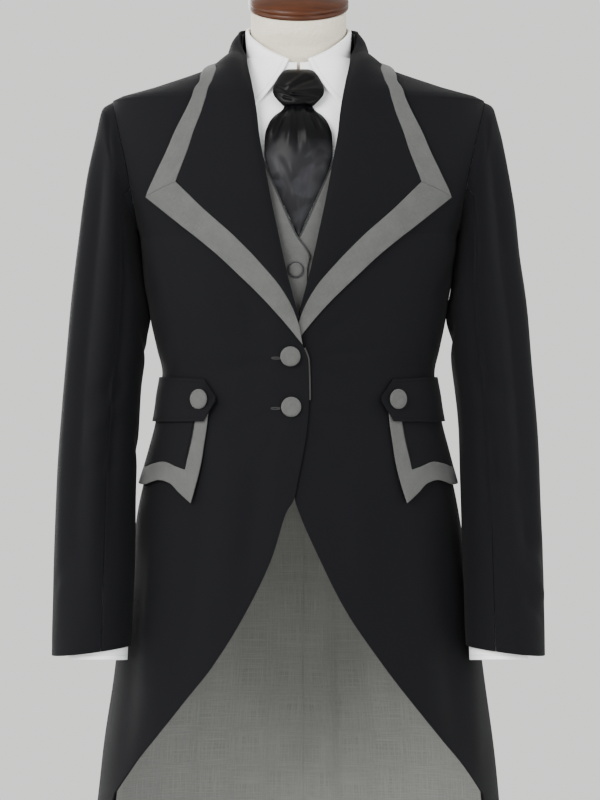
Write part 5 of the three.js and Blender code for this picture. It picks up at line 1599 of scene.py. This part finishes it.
def waistcoat_back():
    """The waistcoat's back, with a soft sink down its middle seam."""
    z = rows_from(WAISTCOAT_TOP_Z, TORSO_HEM_Z, 7)
    arm = column(WAISTCOAT_ARM, 2, z)
    angle, z = between_edges(FORM, z, arm, -180 - arm, 90)
    sink = BACK_SEAM["depth"] * np.exp(-(((angle + 90) / BACK_SEAM["reach"]) ** 2))
    lift = WAISTCOAT_BACK_LIFT - sink
    panel("waistcoat_back", FORM, 1, angle, z, lift, WAISTCOAT_CLOTH, "lining")


def waistcoat():
    for side in SIDES:
        waistcoat_front(side)
        waistcoat_piping(side)
    waistcoat_back()
    for i, (x, z, clear) in enumerate(WAISTCOAT_BUTTONS):
        name = f"waistcoat_button_{i + 1}"
        lift = WAISTCOAT_LIFT + WAISTCOAT_LAP["lift"] + clear
        button(name, FORM, -1, x, z, lift, WAISTCOAT_BUTTON)
        turn = np.linspace(0, 2 * np.pi, 48, endpoint=False)
        rim = WAISTCOAT_BUTTON + BUTTON_RIM["outside"]
        height = z + rim * np.sin(turn)
        angle = FORM.front_angle(x + rim * np.cos(turn), height)
        path = mirrored(FORM.lifted(angle, height, lift + BUTTON_RIM["lift"]), -1)
        name = f"waistcoat_button_rim_{i + 1}"
        cord_along(name, path, BUTTON_RIM["radius"], "piping", closed=True)


# z, angle of the shirt's neck edge.
SHIRT_NECK = ((1502, 5), (1494, 35), (1484, 60), (1474, 83), (1470, 90))
SHIRT_TOP_Z = 1500


def shirt_arm(z, ahead):
    reach = np.abs(z - SHIRT_RING["z"]) < SHIRT_RING["half"]
    return np.where(reach, FORM.ring_angle(SHIRT_RING, z, ahead), 0)


def shirt_body():
    ring = ring_heights(SHIRT_RING)
    for name, sign in SIDES:
        z = rows_from(SHIRT_TOP_Z, TORSO_HEM_Z, 7, ring)
        angle, z = between_edges(FORM, z, column(SHIRT_NECK, 1, z), shirt_arm(z, True), 46)
        lift = np.full(z.shape, SHIRT_LIFT)
        panel(f"shirt_front_{name}", FORM, sign, angle, z, lift, SHIRT_CLOTH, "poplin")
    z = rows_from(SHIRT_TOP_Z, TORSO_HEM_Z, 8, ring)
    arm = shirt_arm(z, False)
    angle, z = between_edges(FORM, z, arm, -180 - arm, 90)
    lift = np.full(z.shape, SHIRT_LIFT)
    panel("shirt_back", FORM, 1, angle, z, lift, SHIRT_CLOTH, "poplin")


# angle, z of the fold, z of the stand's foot.
COLLAR_FOLD = (
    (81, 1494, 1474.2),
    (56.6, 1506, 1486),
    (34, 1520, 1494.2),
    (4.5, 1534, 1501.7),
    (-40, 1544, 1501.7),
    (-90, 1549, 1501.7),
)
# fold angle, edge angle, z, bulge behind; fold angle, edge x, z, bulge on the front.
LEAF_BEHIND = (
    (-90, -90, 1506, 0.5),
    (-74, -74, 1505, 0.5),
    (-58, -58, 1504, 0.5),
    (-42, -42, 1503, 0.5),
    (-26, -26, 1502, 0.5),
    (-11, -11, 1501, 0.5),
    (4.5, 4, 1500, 0.6),
)
LEAF_FRONT = (
    (20, 68, 1493, 0.9),
    (34, 66, 1485, 1.3),
    (48, 62, 1472, 1.8),
    (62, 57, 1457, 2.2),
    (79, 50.5, 1437, 2.2),
)
LEAF_CLOTH = 1.1
# rise and lift of the turn over the fold, before the leaf falls.
LEAF_TURN = ((-0.4, 0.6), (0.5, 1.0), (1.1, 1.8), (1.2, 2.6), (0.9, 3.6), (0.3, 4.4))
LEAF_LIFT = (4.9, 3.0)


def shirt_collar_stand():
    def edges(own):
        return column(COLLAR_FOLD, 2, own), column(COLLAR_FOLD, 1, own) - SHIRT_STAND["below"]

    end, lift, thickness = (SHIRT_STAND[key] for key in ("end", "lift", "cloth"))
    neck_band("shirt_collar_stand", FORM, end, edges, lift, thickness, "poplin")


def shirt_collar_leaf(side):
    """The collar's leaf: it turns over the fold and falls to its free edge and its point."""
    name, sign = side
    front = np.array(LEAF_FRONT, float)
    front[:, 1] = FORM.front_angle(front[:, 1], front[:, 2])
    table = np.concatenate([np.array(LEAF_BEHIND, float), front])
    _, rows = along(table, 130)
    fold, edge, edge_z, bulge = (rows[:, k : k + 1] for k in range(4))
    fold_z = column(COLLAR_FOLD, 1, fold)
    turn = np.array(LEAF_TURN)[None]
    t = np.linspace(0.04, 1, 22)[None]
    angle = np.concatenate([fold + 0 * turn[..., 0], mixed(fold, edge, t)], 1)
    z = np.concatenate([fold_z + turn[..., 0], mixed(fold_z, edge_z, t)], 1)
    fall = mixed(LEAF_LIFT[0], LEAF_LIFT[1], t) + bulge * np.sin(np.pi * t)
    lift = np.concatenate([0 * fold + turn[..., 1], fall], 1)
    angle[0] = FORM.nudge(angle[0], z[0], SEAM_GAP / 2)
    panel(f"shirt_collar_{name}", FORM, sign, angle, z, lift, LEAF_CLOTH, "poplin stitched")


# angle, z of the middle of the cravat's band.
CRAVAT_BAND = ((76, 1482.5), (56, 1494), (34, 1505), (5, 1517), (-40, 1524), (-90, 1526))
# z, half width, thickness
KNOT = (
    (1484, 12, 5),
    (1482, 17, 9),
    (1478, 21, 13),
    (1468, 26.8, 17),
    (1462, 29.2, 18.5),
    (1457, 29.8, 19),
    (1452, 28.8, 18.6),
    (1446, 24.6, 17),
    (1441, 20, 14),
    (1438.5, 17.4, 10),
    (1437, 13, 6),
)
# z, half width, puff
TAIL = (
    (1443, 14, 3),
    (1437, 15.5, 5),
    (1431, 18.5, 7),
    (1424, 27, 11),
    (1415, 33.5, 14),
    (1400, 38, 17),
    (1381, 38.5, 16),
    (1360, 33.4, 13),
    (1335, 22.4, 9),
    (1312, 11.5, 6),
    (1297, 5, 4.5),
    (1289, 2.2, 3.2),
)
KNOT_CLEAR = 1.2
TAIL_LIFT = 4.3
SATIN_CLOTH = 1.6
# The tail's swell across, as a part of a sine to a power, and the share of its width where folds rise.
TAIL_SWELL = {"from": 0.04, "to": 0.96, "power": 0.7, "edge": (0, 0.12)}
# x, z to x, z, half width, height; x grows to the viewer's right.
KNOT_FOLDS = (
    (-15, 1457, 22, 1474, 2.4, -1.9),
    (-14, 1454, 28, 1460, 2.6, 1.6),
    (-15, 1453, 24, 1448, 2.3, -1.9),
    (-12, 1450, 14, 1441, 2.2, 1.2),
    (-16, 1460, 10, 1480, 2.4, 1.3),
    (-26, 1462, -8, 1453, 2.0, -1.8),
    (-27, 1456, -9, 1450, 1.8, 1.2),
    (-18, 1449, -6, 1446, 1.6, -1.5),
    (-12, 1466, -6, 1452, 3.0, 1.8),
    (8, 1480, 24, 1468, 3.0, 0.8),
)
TAIL_FOLDS = (
    (-12, 1436, -29, 1392, 3.6, -2.6),
    (-6, 1436, -12, 1384, 3.4, 2.0),
    (-1, 1436, -1, 1376, 3.2, -2.0),
    (5, 1436, 11, 1382, 3.4, 2.1),
    (10, 1436, 27, 1396, 3.6, -2.4),
    (16, 1430, 35, 1402, 3.4, 1.4),
    (-22, 1424, -36, 1400, 3.2, 1.3),
    (-24, 1376, 2, 1330, 5.0, -1.3),
    (24, 1380, 2, 1336, 5.5, 1.2),
    (-10, 1366, -2, 1312, 3.4, 1.1),
    (12, 1360, 0, 1316, 3.0, -1.1),
)


def cravat_band():
    def edges(own):
        middle = column(CRAVAT_BAND, 1, own)
        return middle - CRAVAT_ROUND["half"], middle + CRAVAT_ROUND["half"]

    end, lift, thickness = (CRAVAT_ROUND[key] for key in ("end", "lift", "cloth"))
    neck_band("cravat_band", FORM, end, edges, lift, thickness, "satin")


def cravat_knot():
    """The wound knot: an oval at each height, with the winds drawn together at one side."""
    z = np.linspace(KNOT[0][0], KNOT[-1][0], 60)[:, None]
    turn = np.radians(np.linspace(0, 360, 120, endpoint=False))[None]
    half, thick = column(KNOT, 1, z), column(KNOT, 2, z)
    back = -FORM.bare(90.0, z)[..., 1] + KNOT_CLEAR
    x = half * np.cos(turn)
    ahead = np.clip(-np.sin(turn), 0, 1)
    bumps = creased(x, z * np.ones_like(turn), KNOT_FOLDS) * ease(ahead, 0.05, 0.5)
    y = back + thick / 2 * (1 - np.sin(turn)) + bumps
    rings = np.stack([x, -y, z * np.ones_like(turn)], -1)
    knot = closed_surface("cravat_knot", rings, "satin")
    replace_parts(knot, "cravat_knot")


def cravat_tail():
    """The puffed tail: pleats spread from the knot and fade into its full middle."""
    z = np.linspace(TAIL[0][0], TAIL[-1][0], 90)[:, None] * np.ones((1, 60))
    t = np.linspace(0, 1, 60)[None] * np.ones_like(z)
    half, puff = column(TAIL, 1, z), column(TAIL, 2, z)
    x = mixed(-half, half, t)
    share = mixed(TAIL_SWELL["from"], TAIL_SWELL["to"], t)
    swell = puff * np.power(np.sin(np.pi * share), TAIL_SWELL["power"])
    bumps = creased(x, z, TAIL_FOLDS) * ease(np.minimum(t, 1 - t), *TAIL_SWELL["edge"])
    angle = FORM.front_angle(x, z)
    points = FORM.lifted(angle, z, TAIL_LIFT + swell + bumps)
    outward = FORM.outward(angle, z)
    cloth("cravat_tail", points, outward, SATIN_CLOTH, "satin")


# Dress form and stand.
# z, how far inside its own surface the form's wall lies.
FORM_INSET = ((1435, 11), (1500, 5), (1530, 1.2))
FORM_LOW_Z = 995
FORM_NECK_Z = 1512
CAP = {"tilt": 21, "z": 1562, "y": -2, "gap": 0.5}
CAP_PROFILE = (
    (0, 0),
    (57.6, 0),
    (58.6, 0.5),
    (59, 1.6),
    (59, 4.2),
    (58.1, 5.0),
    (58.1, 5.7),
    (59, 6.5),
    (59, 8.6),
    (58.4, 10.2),
    (56.5, 12.3),
    (52, 15.2),
    (46, 18.3),
    (40, 20.8),
    (30, 23.4),
    (22, 25),
    (15, 26.2),
    (12.4, 27.4),
    (12, 29.5),
    (12.6, 32),
    (13.8, 34.5),
    (14, 37),
    (12.8, 39.6),
    (9.5, 41.8),
    (5, 42.8),
    (0, 43),
)
BASE_Y = 60
BASE_PROFILE = (
    (0, 0),
    (207, 0),
    (209.4, 0.8),
    (210, 2.4),
    (210, 8.6),
    (209.4, 10.6),
    (207.4, 11.8),
    (204, 12),
    (0, 12),
)
ROD = {"radius": 10, "y": 217, "bend": 34, "z": 1012, "foot": 12.3}
RING_PROFILE = (
    (10.4, 0),
    (21.4, 0),
    (22, 0.6),
    (22, 3.4),
    (21.2, 4.4),
    (17.5, 9),
    (15.6, 16),
    (15, 25),
    (14.4, 26),
    (10.4, 26),
    (10.4, 0),
)


def form_torso():
    """The linen-covered form: its own surface less the inset, and a neck cut to the tilt of its cap."""
    turn = np.linspace(-180, 180, 120, endpoint=False)[None]

    def at(z):
        z = z * np.ones_like(turn)
        return FORM.lifted(turn, z, -column(FORM_INSET, 1, z))

    body = at(np.linspace(FORM_LOW_Z, FORM_NECK_Z, 90)[:, None])
    t = np.linspace(0, 1, 16)[1:, None, None]
    top = at(np.full((1, 1), float(CAP["z"])))
    neck = mixed(body[-1:], top, np.clip(t * 2, 0, 1))
    tilted = CAP["z"] + top[..., 1] * math.tan(math.radians(CAP["tilt"]))
    neck[..., 2] = mixed(float(FORM_NECK_Z), tilted, t[..., 0])
    rings = np.concatenate([body, neck])
    torso = closed_surface("form_torso", rings, "linen")
    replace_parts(torso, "form_torso")


def stand():
    tilt = math.radians(CAP["tilt"])
    axis = (0, -math.sin(tilt), math.cos(tilt))
    top = (0, CAP["y"], CAP["z"] + CAP["y"] * math.tan(tilt) + CAP["gap"])
    turned("neck_cap", CAP_PROFILE, 96, top, axis, "wood")
    turned("stand_base", BASE_PROFILE, 128, (0, BASE_Y, 0), (0, 0, 1), "steel")
    foot = (0, ROD["y"], ROD["foot"])
    turned("stand_collar", RING_PROFILE, 64, foot, (0, 0, 1), "steel", cap=False)
    low = ROD["z"] - ROD["radius"]
    end = FORM.lifted(-90.0, low, SEAM_GAP - float(column(FORM_INSET, 1, low)))[1]
    knee = np.array([0.0, ROD["y"], ROD["z"] - ROD["bend"]])
    corner = np.array([0.0, ROD["y"], ROD["z"]])
    arm = np.array([0.0, ROD["y"] - ROD["bend"], ROD["z"]])
    t = np.linspace(0, 1, 24)[:, None]
    bend = knee * (1 - t) ** 2 + 2 * corner * t * (1 - t) + arm * t**2
    straight = mixed(np.array(foot, float), knee, np.linspace(0, 1, 40)[:-1, None])
    last = mixed(arm, np.array([0.0, end, ROD["z"]]), np.linspace(0, 1, 12)[1:, None])
    path = np.concatenate([straight, bend, last])
    rod = cord_along("stand_rod", path, ROD["radius"], "steel", steps=32, across=(1, 0, 0))
    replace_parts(rod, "stand_rod")


# Stage: floor, lights, pale surroundings and camera.
def stage_material(name, colour):
    """Pale paint with a faint cloudiness."""
    made, tree, shader = material(name)
    nap = placed_group(tree, "nap", {"Vector": object_place(tree), "Scale": 1.2})
    low = tuple(v * 0.985 for v in colour)
    painted = mixed_colour(tree, nap, low, colour)
    feed(tree, shader, {"Base Color": painted, "Roughness": 0.95, "Specular IOR Level": 0.1})
    return made


FLOOR = {"half": 4500, "z": -0.3}


def floor():
    """A plain pale floor under the stand's base."""
    across = np.linspace(-FLOOR["half"], FLOOR["half"], 10)
    x, y = np.meshgrid(across, across)
    points = np.stack([x, y, np.full(x.shape, FLOOR["z"])], -1)
    uv = np.stack([x, y], -1).reshape(-1, 2)
    paint = stage_material("pale paint", (0.72, 0.735, 0.7))
    new_object("studio floor", points.reshape(-1, 3), grid_faces(10, 10), uv, paint)


# name, place, aim, size, power, colour
LIGHTS = (
    ("key", (-1.9, -2.9, 2.6), (0, 0, 1.15), 1.9, 175, (1, 0.99, 0.98)),
    ("fill", (2.2, -3.1, 1.6), (0, 0, 1.1), 2.2, 62, (0.97, 0.98, 1)),
    ("left streak", (-2.6, -0.6, 1.5), (-0.2, 0, 1.1), 1.2, 30, (1, 1, 1)),
    ("right streak", (2.6, -0.6, 1.5), (0.2, 0, 1.1), 1.2, 18, (1, 1, 1)),
    ("behind", (-1.6, 3.4, 2.3), (0, 0, 1.1), 2.0, 130, (1, 1, 1)),
)
WORLD = ((0.93, 0.938, 0.912), 1.22)
CAMERA = {"place": (0.00177, -4.0, 1.10), "lens": 152.54}


def lights_and_camera():
    scene = bpy.context.scene
    for name, place, aim, size, power, colour in LIGHTS:
        data = bpy.data.lights.new(name, "AREA")
        data.shape = "SQUARE"
        data.size = size
        data.energy = power
        data.color = colour
        lamp = bpy.data.objects.new(name, data)
        lamp.location = place
        lamp.rotation_euler = (Vector(aim) - Vector(place)).to_track_quat("-Z", "Y").to_euler()
        scene.collection.objects.link(lamp)
    world = bpy.data.worlds.new("studio")
    world.use_nodes = True
    ground = world.node_tree.nodes["Background"]
    ground.inputs["Color"].default_value = (*WORLD[0], 1)
    ground.inputs["Strength"].default_value = WORLD[1]
    scene.world = world
    data = bpy.data.cameras.new("camera")
    data.lens = CAMERA["lens"]
    camera = bpy.data.objects.new("camera", data)
    camera.location = CAMERA["place"]
    camera.rotation_euler = (math.radians(90), 0, 0)
    scene.collection.objects.link(camera)
    scene.camera = camera


# Add-on.
class SuitColours(bpy.types.PropertyGroup):
    """Base colours of the cloths."""

    coat: bpy.props.FloatVectorProperty(
        name="Coat",
        description="Colour of the coat's wool",
        subtype="COLOR",
        default=(0.0026, 0.0026, 0.0038),
    )
    trim: bpy.props.FloatVectorProperty(
        name="Trim",
        description="Colour of the grey wool of trim and waistcoat",
        subtype="COLOR",
        default=(0.068, 0.0695, 0.0675),
    )
    lining: bpy.props.FloatVectorProperty(
        name="Lining",
        description="Colour of the tails' lining",
        subtype="COLOR",
        default=(0.165, 0.166, 0.16),
    )


class SUIT_OT_coat(bpy.types.Operator):
    """Builds the coat's fronts, sides, backs, lining and collar stand"""

    bl_idname = "suit.coat"
    bl_label = "Coat body"

    def execute(self, context):
        for side in SIDES:
            coat_body(side)
            tail_lining(side)
        coat_collar_stand()
        return {"FINISHED"}


class SUIT_OT_trim(bpy.types.Operator):
    """Builds lapels, grey bands, edging, hip tabs, flaps, buttons and buttonholes"""

    bl_idname = "suit.trim"
    bl_label = "Coat trim"

    def execute(self, context):
        for side in SIDES:
            lapel(side)
            lapel_bands(side)
            hip_tab(side)
            flap(side)
        front_edging()
        coat_buttons()
        return {"FINISHED"}


class SUIT_OT_sleeves(bpy.types.Operator):
    """Builds the coat's sleeves and the shirt's sleeves and cuffs inside them"""

    bl_idname = "suit.sleeves"
    bl_label = "Sleeves"

    def execute(self, context):
        for side in SIDES:
            edge = SLEEVE_SEAM - SLEEVE_GAP
            sleeve_piece("sleeve_top", side, -edge, edge, 72)
            sleeve_piece("sleeve_under", side, SLEEVE_SEAM + SLEEVE_GAP, 252 - SLEEVE_GAP, 48)
            shirt_sleeve(side)
            shirt_cuff(side)
        return {"FINISHED"}


class SUIT_OT_waistcoat(bpy.types.Operator):
    """Builds the waistcoat with its dark edge and buttons"""

    bl_idname = "suit.waistcoat"
    bl_label = "Waistcoat"

    def execute(self, context):
        waistcoat()
        return {"FINISHED"}


class SUIT_OT_shirt(bpy.types.Operator):
    """Builds the shirt with its collar, and the cravat"""

    bl_idname = "suit.shirt"
    bl_label = "Shirt and cravat"

    def execute(self, context):
        shirt_body()
        shirt_collar_stand()
        for side in SIDES:
            shirt_collar_leaf(side)
        cravat_band()
        cravat_knot()
        cravat_tail()
        return {"FINISHED"}


class SUIT_OT_form(bpy.types.Operator):
    """Builds the dress form, its wooden cap and its stand"""

    bl_idname = "suit.form"
    bl_label = "Form and stand"

    def execute(self, context):
        form_torso()
        stand()
        return {"FINISHED"}


class SUIT_OT_stage(bpy.types.Operator):
    """Sets up floor, lights, surroundings and camera"""

    bl_idname = "suit.stage"
    bl_label = "Stage"

    def execute(self, context):
        floor()
        lights_and_camera()
        return {"FINISHED"}


OPERATORS = (
    SUIT_OT_coat,
    SUIT_OT_trim,
    SUIT_OT_sleeves,
    SUIT_OT_waistcoat,
    SUIT_OT_shirt,
    SUIT_OT_form,
    SUIT_OT_stage,
)


class SUIT_PT_panel(bpy.types.Panel):
    """The suit's colours and its steps"""

    bl_idname = "SUIT_PT_panel"
    bl_label = "Morning suit"
    bl_space_type = "VIEW_3D"
    bl_region_type = "UI"
    bl_category = "Suit"

    def draw(self, context):
        for name in ("coat", "trim", "lining"):
            self.layout.prop(context.scene.suit_colours, name)
        for operator in OPERATORS:
            self.layout.operator(operator.bl_idname)


CLASSES = (SuitColours, *OPERATORS, SUIT_PT_panel)


def register():
    for made in CLASSES:
        bpy.utils.register_class(made)
    bpy.types.Scene.suit_colours = bpy.props.PointerProperty(type=SuitColours)


def unregister():
    del bpy.types.Scene.suit_colours
    for made in reversed(CLASSES):
        bpy.utils.unregister_class(made)


def plain(box):
    return [[float(v) for v in corner] for corner in box]


def main():
    register()
    bpy.ops.suit.coat()
    bpy.ops.suit.trim()
    bpy.ops.suit.sleeves()
    bpy.ops.suit.waistcoat()
    bpy.ops.suit.shirt()
    bpy.ops.suit.form()
    bpy.ops.suit.stage()


if __name__ == "__main__":
    main()
